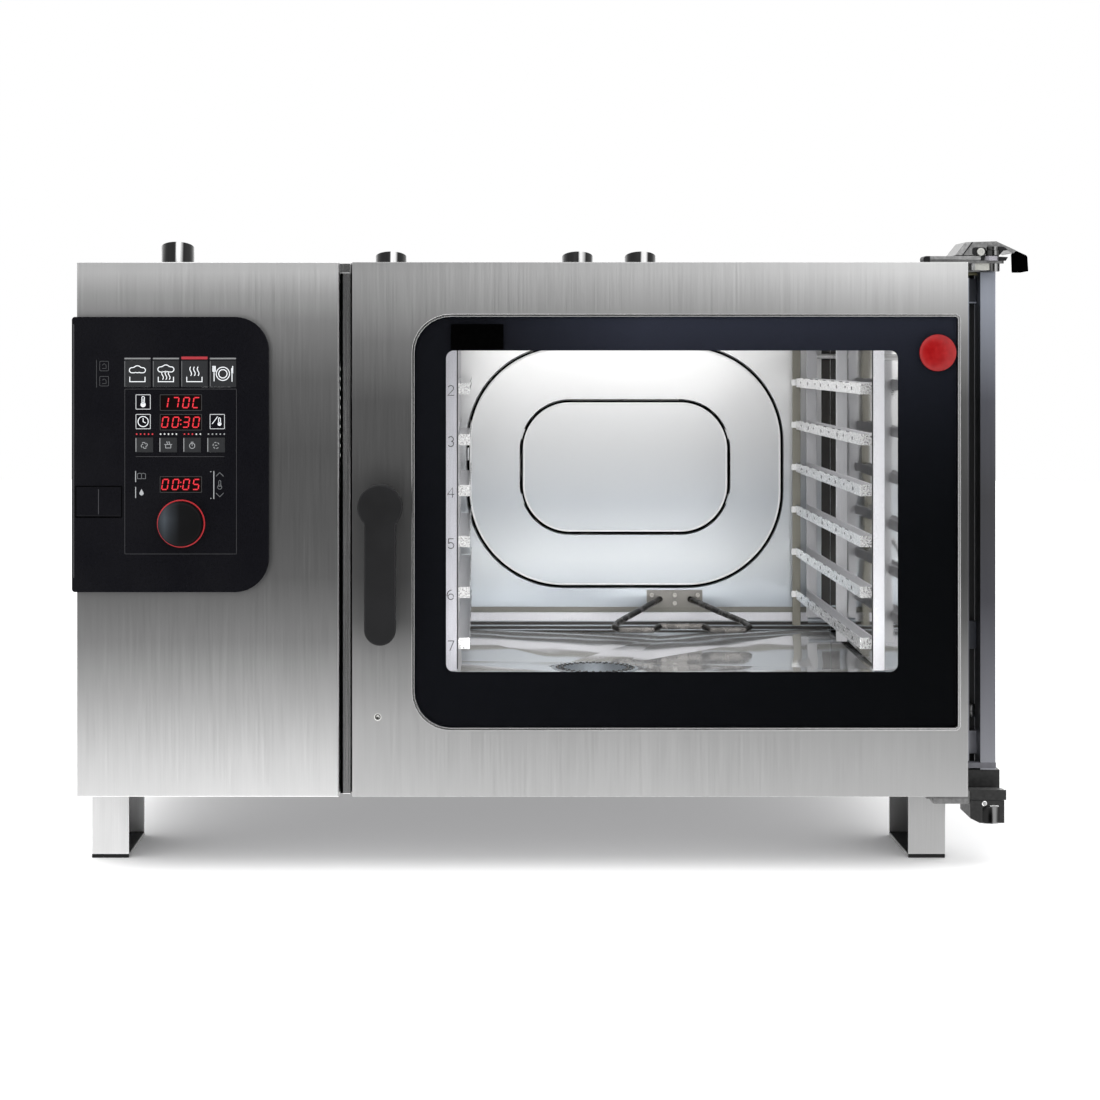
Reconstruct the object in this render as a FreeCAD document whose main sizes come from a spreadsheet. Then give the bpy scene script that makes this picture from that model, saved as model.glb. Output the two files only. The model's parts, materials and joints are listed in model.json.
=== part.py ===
"""Combi steamer oven on legs, with a control fascia on the left and a glass door hinged on the right.

Sizes are taken from a datum at floor level, in the middle of the casing's width and in the plane of
the closed door's front.  Every sub-part is then shifted so that the origin is at floor level in the
middle of the whole oven.  X runs right, Y runs back into the oven, Z runs up.  Millimetres.
"""
import FreeCAD, Part
import math
import os
import re
import Sketcher

V = FreeCAD.Vector
DOC = FreeCAD.newDocument("combi_steamer")
ALONG_Y = FreeCAD.Rotation(V(1, 0, 0), -90)
ALONG_X = FreeCAD.Rotation(V(0, 1, 0), 90)
UPRIGHT = FreeCAD.Rotation()

# ------------------------------------------------------------------ driving dimensions
DIMENSIONS = {
    # middle of the whole oven, from the datum
    "origin_x": 41.5,
    "origin_y": 478,
    # casing
    "casing_left": -560,
    "casing_right": 560,
    "casing_bottom": 96,
    "casing_top": 768,
    "casing_depth": 992,
    "sheet": 1.5,
    "fascia_right": -231,
    "fascia_depth": 30,
    "fascia_open_left": -515,
    "fascia_open_right": -345,
    "fascia_open_bottom": 395,
    "fascia_open_top": 655,
    "frame_face": 84,
    "frame_back": 86,
    "strip_left": -229,
    "strip_right": -216,
    "strip_face": 12,
    # legs
    "leg_width": 48,
    "leg_length": 145,
    "leg_left": -556,
    "leg_right": 549,
    "leg_front": 90,
    "leg_rear": 800,
    "leg_wall": 2,
    "pad_thick": 5,
    # cavity
    "cavity_left": -138,
    "cavity_right": 512,
    "cavity_bottom": 198,
    "cavity_top": 700,
    "cavity_back": 850,
    "housing_left": -110,
    "housing_right": 471,
    "housing_bottom": 236,
    "housing_back": 912,
    "wool": 24,
    "gasket_width": 14,
    "gasket_front": 75.2,
    "post_side": 40,
    # louvres in the back panel
    "louvre_left": -520,
    "louvre_bottom": 480,
    "louvre_pitch_x": 70,
    "louvre_pitch_z": 16,
    "louvre_wide": 50,
    "louvre_tall": 5,
    # fan and air baffle
    "hub_length": 30,
    "blade_inner": 36,
    "blade_depth": 36,
    "blade_thick": 2,
    "shaft_length": 85,
    "coil_pitch": 14,
    "fan_x": 180.5,
    "fan_z": 470.5,
    "fan_radius": 140,
    "shaft_radius": 8,
    "motor_radius": 88,
    "coil_radius": 168,
    "tube_radius": 5,
    "baffle_left": -72.5,
    "baffle_right": 433.5,
    "baffle_bottom": 277,
    "baffle_top": 664,
    "baffle_corner": 154,
    "baffle_thick": 2,
    "cover_left": 13.5,
    "cover_right": 347.5,
    "cover_bottom": 363,
    "cover_top": 576,
    "cover_corner": 78,
    "intake_left": 10.5,
    "intake_right": 350.5,
    "intake_bottom": 360,
    "intake_top": 579,
    "intake_corner": 81,
    "air_gap": 3,
    # racks
    "rack_pitch": 68,
    "rack_top_level": 682,
    "rack_bottom": 229,
    "rack_post_top": 688,
    "rack_front": 187,
    "rack_rear": 834,
    "post_width": 16,
    "post_thick": 5,
    "rack_left_outer": -100,
    "rack_right_outer": 487,
    "ledge": 16,
    "rail_height": 15,
    "rack_sheet": 2,
    "stud_radius": 4,
    # floor
    "sieve_x": 113,
    "sieve_y": 445,
    "sieve_radius": 62,
    "sieve_cup_radius": 56,
    "drain_radius": 25,
    "drain_height": 145,
    "drain_stub": 20,
    "sump_depth": 74,
    # wire hook on the back wall
    "hook_x": 260.5,
    "hook_plate_bottom": 243,
    "hook_plate_top": 271,
    "hook_plate_width": 90,
    "wire_radius": 4.8,
    "hook_reach": 150,
    "rivet_radius": 4,
    # electronics
    "board_x": -200,
    # pipes on the roof
    "pipe_radius": 25,
    "pipe_wall": 2,
    "slice_side": 80,
    # water valves and cable gland on the back panel
    "valve_width": 40,
    "valve_depth": 50,
    "valve_tall": 60,
    "inlet_bore": 9,
    "inlet_neck": 11,
    "inlet_thread": 13.2,
    "inlet_length": 18,
    "gland_neck": 12,
    "gland_collar": 17,
    "gland_bore": 9,
    # control panel
    "bezel_left": -565,
    "bezel_right": -318,
    "bezel_bottom": 354,
    "bezel_top": 699,
    "bezel_corner": 43,
    "bezel_thick": 9,
    "bezel_wrap": 34,
    "key_gap": 0.2,
    "mode_key_size": 33.2,
    "mode_key_first": -482.7,
    "mode_key_pitch": 35.7,
    "mode_key_height": 627.7,
    "small_key_width": 22,
    "small_key_tall": 18.4,
    "small_key_first": -474.1,
    "small_key_pitch": 30,
    "small_key_height": 538.5,
    "key_proud": 0.6,
    "key_back": 1,
    "display_x": -428.3,
    "display_width": 51.5,
    "display_tall": 19.4,
    "dial_x": -428,
    "dial_z": 440,
    "dial_radius": 28.2,
    "ring_outer": 30,
    "ring_inner": 28.5,
    "bush_radius": 9,
    "stem_radius": 4,
    "running": 0.05,
    "flap_left": -561.5,
    "flap_right": -503,
    "flap_bottom": 448.5,
    "flap_top": 486,
    "flap_thick": 3,
    # door
    "door_left": -214,
    "door_right": 560,
    "door_thick": 75,
    "glass_left": -136,
    "glass_right": 547.5,
    "glass_bottom": 182.4,
    "glass_top": 699.6,
    "glass_corner": 46,
    "glass_small_corner": 4,
    "glass_thick": 6,
    "window_left": -95.4,
    "window_right": 472.7,
    "window_bottom": 252,
    "window_top": 655.6,
    "window_corner": 8,
    "spacer_inner": 16,
    "spacer_outer": 19,
    "strip_front": 26,
    "strip_back": 42,
    "strip_thick": 3,
    "inner_left": -120,
    "inner_right": 498,
    "inner_bottom": 227,
    "inner_top": 681,
    "inner_corner": 12,
    "handle_x": -177,
    "handle_z": 463,
    "handle_end": 312,
    "handle_head": 28,
    "handle_grip": 19.6,
    "handle_neck": 17,
    "handle_stand": 34,
    "handle_thick": 22,
    "spindle_radius": 7,
    "cam_length": 17,
    "latch_cup": 24,
    "badge_x": 522,
    "badge_z": 654,
    "badge_radius": 21,
    # hinge side
    "pivot_x": 604,
    "pivot_y": 52,
    "pin_radius": 6,
    "column_left": 589,
    "column_right": 609,
    "column_front": 66,
    "column_back": 104,
    "column_bottom": 118,
    "column_top": 758,
    "rail_end": 960,
}

SHEET = DOC.addObject("Spreadsheet::Sheet", "dims")


def fill_sheet():
    """Put every driving dimension in its own cell, under its own alias."""
    for row, (alias, size) in enumerate(DIMENSIONS.items(), start=1):
        SHEET.set("A%d" % row, alias.replace("_", " "))
        SHEET.set("B%d" % row, str(size))
        SHEET.setAlias("B%d" % row, alias)
    DOC.recompute()


fill_sheet()


# ------------------------------------------------------------------ small helpers
def bound(text):
    """The same expression with every dimension read from the sheet."""
    def swap(match):
        word = match.group()
        return "dims." + word if word in DIMENSIONS else word
    return re.sub(r"[a-z][a-z_]*", swap, str(text))


def place(item, x, y, z, turn=UPRIGHT):
    """Turn an object, then bind its position to the sheet, counted from the middle of the oven."""
    item.Placement = FreeCAD.Placement(V(0, 0, 0), turn)
    for axis, text in zip("xyz", (x, y, z)):
        shift = "" if axis == "z" else " - dims.origin_" + axis
        item.setExpression("Placement.Base." + axis, bound(text) + shift)
    return item


def block(x, y, z, length, depth, height):
    """A box from its lowest corner and three sizes."""
    item = DOC.addObject("Part::Box", "block")
    for name, text in (("Length", length), ("Width", depth), ("Height", height)):
        item.setExpression(name, bound(text))
    return place(item, x, y, z)


def span(x0, x1, y0, y1, z0, z1):
    """A box from its two corners."""
    sides = ["(%s) - (%s)" % pair for pair in ((x1, x0), (y1, y0), (z1, z0))]
    return block(x0, y0, z0, *sides)


def rod(radius, length, x, y, z, turn=UPRIGHT):
    """A cylinder that starts at a point and runs along a direction."""
    item = DOC.addObject("Part::Cylinder", "rod")
    item.setExpression("Radius", bound(radius))
    item.setExpression("Height", bound(length))
    return place(item, x, y, z, turn)


def join(*items):
    """One solid from several that touch."""
    if len(items) == 1:
        return items[0]
    item = DOC.addObject("Part::MultiFuse", "join")
    item.Shapes = list(items)
    item.Refine = True
    return item


def cut(base, *tools):
    """A solid with others taken away from it."""
    item = DOC.addObject("Part::Cut", "cut")
    item.Base = base
    item.Tool = join(*tools)
    item.Refine = True
    return item


def group(*items):
    """Separate solids that belong to one piece of stock, such as four legs."""
    item = DOC.addObject("Part::Compound", "group")
    item.Links = list(items)
    return item


SUBPARTS = []


def keep(item, label):
    """Name a finished sub-part."""
    item.Label = label
    SUBPARTS.append(item)
    return item


def rounded(x0, x1, z0, z1, radius, y0, y1):
    """An upright slab with four rounded corners, between two depths."""
    depth = "(%s) - (%s)" % (y1, y0)
    bars = [
        span("(%s) + (%s)" % (x0, radius), "(%s) - (%s)" % (x1, radius), y0, y1, z0, z1),
        span(x0, x1, y0, y1, "(%s) + (%s)" % (z0, radius), "(%s) - (%s)" % (z1, radius)),
    ]
    corners = [
        rod(radius, depth, "(%s) %s (%s)" % (x, x_side, radius), y0,
            "(%s) %s (%s)" % (z, z_side, radius), ALONG_Y)
        for x, x_side in ((x0, "+"), (x1, "-"))
        for z, z_side in ((z0, "+"), (z1, "-"))
    ]
    return join(*bars, *corners)


# ------------------------------------------------------------------ sketch helpers
def new_body():
    """A PartDesign body."""
    return DOC.addObject("PartDesign::Body", "body")


def sketch_on(body, role):
    """An empty sketch on one of the body's own origin planes."""
    sketch = body.newObject("Sketcher::SketchObject", "sketch")
    plane = [item for item in body.Origin.OriginFeatures if item.Role == role][0]
    sketch.AttachmentSupport = [(plane, "")]
    sketch.MapMode = "FlatFace"
    return sketch


def constrain(sketch, kind, *where, alias=None):
    """Add a constraint, and bind it to the sheet when it has a size."""
    if alias is None:
        return sketch.addConstraint(Sketcher.Constraint(kind, *where))
    index = sketch.addConstraint(Sketcher.Constraint(kind, *where, DIMENSIONS[alias]))
    sketch.setExpression("Constraints[%d]" % index, "dims." + alias)
    return index


def outline(sketch, left, right, bottom, top, corners):
    """A rectangle whose corners may be rounded.

    The corner aliases start at the lower left and go anticlockwise; None keeps a corner square.
    """
    x0, x1, z0, z1 = (DIMENSIONS[name] for name in (left, right, bottom, top))
    points = [V(x0, z0), V(x1, z0), V(x1, z1), V(x0, z1)]
    steps = [V(1, 0), V(0, 1), V(-1, 0), V(0, -1)]
    radii = [DIMENSIONS[name] if name else 0 for name in corners]
    edges = []
    for i in range(4):
        after = (i + 1) % 4
        start = points[i] + steps[i] * radii[i]
        end = points[after] - steps[i] * radii[after]
        edges.append(sketch.addGeometry(Part.LineSegment(start, end)))
        constrain(sketch, ("Horizontal", "Vertical")[i % 2], edges[i])
    for i, name in enumerate(corners):
        if name is None:
            constrain(sketch, "Coincident", edges[i - 1], 2, edges[i], 1)
            continue
        centre = points[i] + (steps[i] - steps[i - 1]) * radii[i]
        start = math.pi * (1 + 0.5 * i)
        circle = Part.Circle(centre, V(0, 0, 1), radii[i])
        arc = sketch.addGeometry(Part.ArcOfCircle(circle, start, start + math.pi / 2))
        constrain(sketch, "Tangent", edges[i - 1], 2, arc, 1)
        constrain(sketch, "Tangent", arc, 2, edges[i], 1)
        constrain(sketch, "Radius", arc, alias=name)
    constrain(sketch, "DistanceY", -1, 1, edges[0], 1, alias=bottom)
    constrain(sketch, "DistanceX", -1, 1, edges[1], 1, alias=right)
    constrain(sketch, "DistanceY", -1, 1, edges[2], 1, alias=top)
    constrain(sketch, "DistanceX", -1, 1, edges[3], 1, alias=left)


def polygon(sketch, x_alias, z_alias, offsets):
    """A closed outline whose corners are offsets from one point in the sheet."""
    corners = [V(DIMENSIONS[x_alias] + dx, DIMENSIONS[z_alias] + dz) for dx, dz in offsets]
    edges = [sketch.addGeometry(Part.LineSegment(corners[i - 1], corners[i]))
             for i in range(len(corners))]
    for i, (dx, dz) in enumerate(offsets):
        constrain(sketch, "Coincident", edges[i], 2, edges[(i + 1) % len(edges)], 1)
        for kind, alias, shift in (("DistanceX", x_alias, dx), ("DistanceY", z_alias, dz)):
            length = DIMENSIONS[alias] + shift
            index = sketch.addConstraint(Sketcher.Constraint(kind, -1, 1, edges[i], 2, length))
            sketch.setExpression("Constraints[%d]" % index, "dims.%s + %s" % (alias, shift))


def grow(body, sketch, depth):
    """Pad a sketch backwards, towards +Y."""
    pad = body.newObject("PartDesign::Pad", "pad")
    pad.Profile = sketch
    pad.setExpression("Length", bound(depth))
    pad.Reversed = True
    DOC.recompute()
    return pad


def carve(body, sketch, depth):
    """Cut a sketch backwards through the body, from the plane of the sketch."""
    pocket = body.newObject("PartDesign::Pocket", "pocket")
    pocket.Profile = sketch
    pocket.setExpression("Length", bound(depth))
    before = body.Shape.Volume
    DOC.recompute()
    if body.Shape.Volume > before - 1e-3:
        pocket.Reversed = True
        DOC.recompute()
    return pocket


def plate(face, thick, *edges, holes=()):
    """An upright plate: one outline, a few outlined holes, and a place in depth."""
    body = new_body()
    sketch = sketch_on(body, "XZ_Plane")
    outline(sketch, *edges)
    for hole in holes:
        outline(sketch, *hole)
    grow(body, sketch, thick)
    return place(body, 0, face, 0)


# ------------------------------------------------------------------ casing
ROOF_PIPES = ((-518, 669, 824), (-198, 880, 818), (105, 880, 818), (207, 880, 818))
SUPPLY_Z = 180
INLET_XS = (-480, -420)
GLAND_X = -340


def deck(low, high):
    """A sheet between the side panels, set back behind the door and behind the fascia."""
    return join(
        span("casing_left + sheet", "door_left", "fascia_depth", "casing_depth - sheet", low, high),
        span("door_left", "casing_right - sheet", "frame_back", "casing_depth - sheet", low, high))


def casing_panels():
    """Sheet panels that close the oven on five sides."""
    inner_left = "casing_left + sheet"
    inner_right = "casing_right - sheet"
    keep(span("casing_left", inner_left, "fascia_depth", "casing_depth",
              "casing_bottom", "casing_top"), "left_side_panel")
    keep(span(inner_right, "casing_right", "frame_face", "casing_depth",
              "casing_bottom", "casing_top"), "right_side_panel")

    back = span(inner_left, inner_right, "casing_depth - sheet", "casing_depth",
                "casing_bottom + sheet", "casing_top - sheet")
    openings = [rod("drain_radius + 0.3", 10, "sieve_x", "casing_depth - 5",
                    "drain_height", ALONG_Y)]
    openings += [rod("inlet_neck + 0.3", 10, x, "casing_depth - 5", SUPPLY_Z, ALONG_Y)
                 for x in INLET_XS]
    openings += [rod("gland_neck + 0.3", 10, GLAND_X, "casing_depth - 5", SUPPLY_Z, ALONG_Y)]
    for column in range(4):
        for row in range(10):
            openings.append(block("louvre_left + louvre_pitch_x * %d" % column, "casing_depth - 5",
                                  "louvre_bottom + louvre_pitch_z * %d" % row, "louvre_wide", 10,
                                  "louvre_tall"))
    keep(cut(back, *openings), "back_panel")

    holes = [rod("pipe_radius + 0.3", 10, x, y, "casing_top - 5") for x, y, _ in ROOF_PIPES]
    keep(cut(deck("casing_top - sheet", "casing_top"), *holes), "top_cover")
    posts = [block(x, y, "casing_bottom + sheet", "post_side", "post_side",
                   "cavity_bottom - wool - 2 * sheet - casing_bottom")
             for x in (-120, 450) for y in (150, 780)]
    keep(join(deck("casing_bottom", "casing_bottom + sheet"), *posts), "base_frame")


def control_fascia():
    """Folded front pan over the electronics, open behind, with a window for the controls."""
    body = new_body()
    front = sketch_on(body, "XZ_Plane")
    outline(front, "casing_left", "fascia_right", "casing_bottom", "casing_top", (None,) * 4)
    grow(body, front, "fascia_depth")
    window = sketch_on(body, "XZ_Plane")
    outline(window, "fascia_open_left", "fascia_open_right", "fascia_open_bottom",
            "fascia_open_top", (None,) * 4)
    carve(body, window, "fascia_depth")
    place(body, 0, 0, 0)
    hollow = span("casing_left + sheet", "fascia_right - sheet", "sheet", "fascia_depth + 1",
                  "casing_bottom + sheet", "casing_top - sheet")
    keep(cut(body, hollow), "control_fascia")


def column_strip():
    """Bright channel in the gap between the fascia and the door."""
    outer = span("strip_left", "strip_right", "strip_face", "frame_face",
                 "casing_bottom + sheet", "casing_top - sheet")
    inner = span("strip_left + sheet", "strip_right - sheet", "strip_face + sheet",
                 "frame_face + 1", "casing_bottom - 1", "casing_top + 1")
    keep(cut(outer, inner), "column_strip")


def front_frame():
    """Plate round the cavity's mouth, with a cup that the latch cam turns in."""
    face = span("door_left", "casing_right - sheet", "frame_face", "frame_back",
                "casing_bottom", "casing_top")
    mouth = span("cavity_left", "cavity_right", "frame_face - 1", "frame_back + 1",
                 "cavity_bottom", "cavity_top")
    cup = rod("latch_cup + sheet", 16, "handle_x", "frame_back", "handle_z", ALONG_Y)
    hollow = rod("latch_cup", 17.5, "handle_x", "frame_face - 1", "handle_z", ALONG_Y)
    keep(cut(join(cut(face, mouth), cup), hollow), "front_frame")


def legs():
    """Four folded stainless legs, open on their inner side, each on a plastic pad."""
    shells = []
    pads = []
    height = "casing_bottom - pad_thick"
    for side in ("left", "right"):
        x0 = "leg_left" if side == "left" else "leg_right - leg_width"
        hollow_x = x0 + (" + leg_wall" if side == "left" else " - 1")
        for y in ("leg_front", "leg_rear"):
            shell = block(x0, y, "pad_thick", "leg_width", "leg_length", height)
            hollow = block(hollow_x, y + " + leg_wall", "pad_thick - 1",
                           "leg_width - leg_wall + 1", "leg_length - 2 * leg_wall",
                           height + " - leg_wall + 1")
            shells.append(cut(shell, hollow))
            pads.append(block(x0, y, 0, "leg_width", "leg_length", "pad_thick"))
    keep(group(*shells), "legs")
    keep(group(*pads), "foot_pads")


# ------------------------------------------------------------------ cavity
def cavity_liner():
    """Welded stainless cavity with a fan housing behind it."""
    outer = join(
        span("cavity_left - sheet", "cavity_right + sheet", "frame_back", "cavity_back + sheet",
             "cavity_bottom - sheet", "cavity_top + sheet"),
        span("housing_left - sheet", "housing_right + sheet", "cavity_back",
             "housing_back + sheet", "housing_bottom - sheet", "cavity_top + sheet"))
    tools = [
        span("cavity_left", "cavity_right", "frame_back - 1", "cavity_back",
             "cavity_bottom", "cavity_top"),
        span("housing_left", "housing_right", "cavity_back + sheet", "housing_back",
             "housing_bottom", "cavity_top"),
        rounded("baffle_left - air_gap", "baffle_right + air_gap", "baffle_bottom - air_gap",
                "baffle_top + air_gap", "baffle_corner + air_gap", "cavity_back - 1",
                "cavity_back + sheet + 1"),
        rod("shaft_radius + 1", 20, "fan_x", "housing_back - 5", "fan_z", ALONG_Y),
        rod("sieve_cup_radius + 2", 20, "sieve_x", "sieve_y", "cavity_bottom - 10"),
    ]
    tools += [rod("pipe_radius - pipe_wall", 20, x, y, "cavity_top - 5")
              for x, y, _ in ROOF_PIPES[2:]]
    keep(cut(outer, *tools), "cavity_liner")


def insulation():
    """Mineral wool jacket round the cavity."""
    outer = span("cavity_left - sheet - wool", "cavity_right + sheet + wool", "frame_back",
                 "housing_back + sheet + wool", "cavity_bottom - sheet - wool",
                 "cavity_top + sheet + wool")
    tools = [
        span("cavity_left - sheet", "cavity_right + sheet", "frame_back - 1",
             "housing_back + sheet", "cavity_bottom - sheet", "cavity_top + sheet"),
        rod("shaft_radius + 4", 60, "fan_x", "housing_back", "fan_z", ALONG_Y),
        rod("sieve_cup_radius + 6", 60, "sieve_x", "sieve_y", "cavity_bottom - 50"),
        rod("latch_cup + sheet + 1", 18, "handle_x", "frame_back - 1", "handle_z", ALONG_Y),
    ]
    tools += [rod("pipe_radius + 0.3", 60, x, y, "cavity_top") for x, y, _ in ROOF_PIPES[2:]]
    keep(cut(outer, *tools), "insulation")


def mouth_gasket():
    """Soft ring that the door closes against."""
    ring = [rounded("cavity_left - 6 - %s" % w, "cavity_right + 6 + %s" % w,
                    "cavity_bottom - 6 - %s" % w, "cavity_top + 6 + %s" % w,
                    "12 + %s" % w, *depth)
            for w, depth in (("gasket_width", ("gasket_front", "frame_face")),
                             ("0", ("gasket_front - 1", "frame_face + 1")))]
    keep(cut(*ring), "mouth_gasket")


def rack(label, outer_x, inward):
    """One tray rack: three upright posts and seven stamped ledges."""
    side = "+" if inward > 0 else "-"
    post_x = outer_x if inward > 0 else outer_x + " - post_width"
    middle = "(rack_front + rack_rear) / 2"
    pieces = [block(post_x, y, "rack_bottom", "post_width", "post_thick",
                    "rack_post_top - rack_bottom")
              for y in ("rack_front", middle, "rack_rear - post_thick")]
    face = "%s %s post_width" % (outer_x, side)
    web_x = face + (" - rack_sheet" if inward > 0 else "")
    ledge_x = face + (" - rack_sheet" if inward > 0 else " - ledge")
    for level in range(7):
        low = "rack_top_level - rack_pitch * %d - rail_height" % level
        pieces.append(block(web_x, "rack_front", low, "rack_sheet",
                            "rack_rear - rack_front", "rail_height"))
        pieces.append(block(ledge_x, "rack_front", low, "ledge + rack_sheet",
                            "rack_rear - rack_front", "rack_sheet"))
    keep(join(*pieces), label)


def rack_studs():
    """Pins on the cavity's side walls that the racks stand on and lean against."""
    under = 14
    studs = []
    for wall, reach in (("cavity_left", "rack_left_outer"), ("cavity_right", "rack_right_outer")):
        left = wall == "cavity_left"
        low, high = (wall, reach) if left else (reach, wall)
        foot = low if left else "%s - %d" % (low, under)
        tip = low if left else low + " + 0.2"
        for y in ("rack_front + 8", "rack_rear - 8"):
            studs.append(rod("stud_radius", "%s - %s + %d" % (high, low, under), foot, y,
                             "rack_bottom - stud_radius - 0.2", ALONG_X))
            studs.append(rod("stud_radius", "%s - %s - 0.2" % (high, low), tip, y,
                             "rack_post_top - 40", ALONG_X))
    keep(group(*studs), "rack_studs")


def drain():
    """Lift-out sieve in the floor, with the sump and waste pipe below it."""
    flange = rod("sieve_radius", 1.5, "sieve_x", "sieve_y", "cavity_bottom")
    cup = rod("sieve_cup_radius", 14, "sieve_x", "sieve_y", "cavity_bottom - 14")
    hollow = rod("sieve_cup_radius - 1.5", 14, "sieve_x", "sieve_y", "cavity_bottom - 12.5")
    holes = []
    for ring, count in ((14, 6), (27, 12), (40, 18)):
        for step in range(count):
            angle = 2 * math.pi * step / count
            holes.append(rod(4, 10, "sieve_x + %.4f" % (ring * math.cos(angle)),
                             "sieve_y + %.4f" % (ring * math.sin(angle)), "cavity_bottom - 18"))
    keep(cut(join(flange, cup), hollow, *holes), "drain_sieve")

    depth = "sump_depth"
    bottom = "cavity_bottom - sheet - sump_depth"
    outer = join(
        rod("sieve_cup_radius + 4", depth, "sieve_x", "sieve_y", bottom),
        rod("drain_radius", "casing_depth + drain_stub - sieve_y", "sieve_x", "sieve_y",
            "drain_height", ALONG_Y),
        rod("drain_radius + 1", "drain_stub", "sieve_x", "casing_depth", "drain_height", ALONG_Y))
    inner = join(
        rod("sieve_cup_radius + 2", depth, "sieve_x", "sieve_y", bottom + " + 2"),
        rod("drain_radius - pipe_wall", "casing_depth + drain_stub - sieve_y + 1", "sieve_x",
            "sieve_y", "drain_height", ALONG_Y))
    keep(cut(outer, inner), "drain_pipe")


def wire_hook():
    """Bent wire on a riveted plate low on the back wall, which holds the baffle's foot."""
    y_back = "cavity_back - 3"
    backing = span("hook_x - hook_plate_width / 2", "hook_x + hook_plate_width / 2", y_back,
                   "cavity_back", "hook_plate_bottom", "hook_plate_top")
    heads = [rod("rivet_radius", 2, "hook_x + %d" % x, "cavity_back - 5", "hook_plate_top - %d" % drop, ALONG_Y)
             for x, drop in ((-38, 8), (38, 8), (0, 8), (0, 22))]
    keep(join(backing, *heads), "hook_plate")

    wall, radius = DIMENSIONS["cavity_back"], DIMENSIONS["wire_radius"]
    back, front = wall - 3 - radius, wall - DIMENSIONS["hook_reach"]
    middle, top = DIMENSIONS["hook_x"], DIMENSIONS["hook_plate_top"] - 14
    half = [V(24, back, top), V(98, front + 26, top - 24), V(105, front + 9, top - 30),
            V(97, front, top - 33), V(45, front, top - 33), V(33, front + 14, top - 29)]
    right = [V(middle + p.x, p.y, p.z) for p in half]
    left = [V(middle - p.x, p.y, p.z) for p in reversed(half)]
    path = Part.Wire(Part.makePolygon(right + left))
    start = Part.Wire(Part.makeCircle(radius, right[0], right[1] - right[0]))
    item = DOC.addObject("Part::Feature", "wire")
    item.Shape = path.makePipeShell([start], True, True, 2)
    keep(place(item, 0, 0, 0), "wire_hook")


# ------------------------------------------------------------------ fan, heater and services
def fan():
    """Radial fan wheel on a shaft through the back wall, with its motor and heater."""
    hub = rod("shaft_radius + 8", "hub_length", "fan_x", "housing_back - 40", "fan_z", ALONG_Y)
    disc = rod("fan_radius", "blade_thick", "fan_x", "housing_back - 12", "fan_z", ALONG_Y)
    blades = []
    for step in range(12):
        blade = DOC.addObject("Part::Box", "blade")
        blade.setExpression("Length", bound("fan_radius - 40"))
        blade.setExpression("Width", bound("blade_depth"))
        blade.setExpression("Height", bound("blade_thick"))
        turn = FreeCAD.Rotation(V(0, -1, 0), 30 * step)
        foot = turn.multVec(V(DIMENSIONS["blade_inner"], 0, 0))
        place(blade, "fan_x + %.4f" % foot.x, "housing_back - 47", "fan_z + %.4f" % foot.z, turn)
        blades.append(blade)
    bore = rod("shaft_radius", 60, "fan_x", "housing_back - 50", "fan_z", ALONG_Y)
    keep(cut(join(disc, hub, *blades), bore), "fan_wheel")

    shaft = rod("shaft_radius", "shaft_length", "fan_x", "housing_back - 40", "fan_z", ALONG_Y)
    nut = rod(14, 6, "fan_x", "housing_back - 46", "fan_z", ALONG_Y)
    keep(join(shaft, nut), "fan_shaft")

    length = "casing_depth - sheet - 2 - housing_back - sheet - wool"
    case = rod("motor_radius", length, "fan_x", "housing_back + sheet + wool", "fan_z", ALONG_Y)
    seat = rod("shaft_radius + running", 22, "fan_x", "housing_back + sheet + wool - 1", "fan_z",
               ALONG_Y)
    keep(cut(case, seat), "fan_motor")

    turns = []
    for step in range(3):
        ring = DOC.addObject("Part::Torus", "turn")
        ring.setExpression("Radius1", bound("coil_radius"))
        ring.setExpression("Radius2", bound("tube_radius"))
        turns.append(place(ring, "fan_x", "housing_back - 38 + %d * coil_pitch" % step,
                           "fan_z", ALONG_Y))
    leads = [rod("tube_radius - 1", 38, "fan_x + %d" % x, "housing_back - 38",
                 "fan_z - sqrt(coil_radius * coil_radius - %d)" % (x * x), ALONG_Y)
             for x in (-30, 30)]
    keep(join(*turns, *leads), "heater_coil")

    keep(rod(3, "cavity_top - fan_z - 12", "fan_x", "housing_back - 53", "fan_z + 12"),
         "injector_pipe")


def air_baffle():
    """Suction baffle in the back wall, with a flush cover plate in the middle."""
    intake = ("intake_left", "intake_right", "intake_bottom", "intake_top", ("intake_corner",) * 4)
    sheet = plate("cavity_back - baffle_thick", "baffle_thick", "baffle_left", "baffle_right",
                  "baffle_bottom", "baffle_top", ("baffle_corner",) * 4, holes=[intake])
    knuckles = [rod("baffle_thick", 20, "baffle_left", "cavity_back - 1", z)
                for z in ("fan_z - 30", "fan_z + 10")]
    keep(join(sheet, *knuckles), "fan_baffle")
    cover = plate("cavity_back - baffle_thick", "baffle_thick", "cover_left", "cover_right",
                  "cover_bottom", "cover_top", ("cover_corner",) * 4)
    bars = [span("intake_left - 12", "intake_right + 12", "cavity_back", "cavity_back + 2",
                 "fan_z + %d" % z, "fan_z + %d" % (z + 16)) for z in (-60, 44)]
    keep(join(cover, *bars), "cover_plate")


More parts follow.
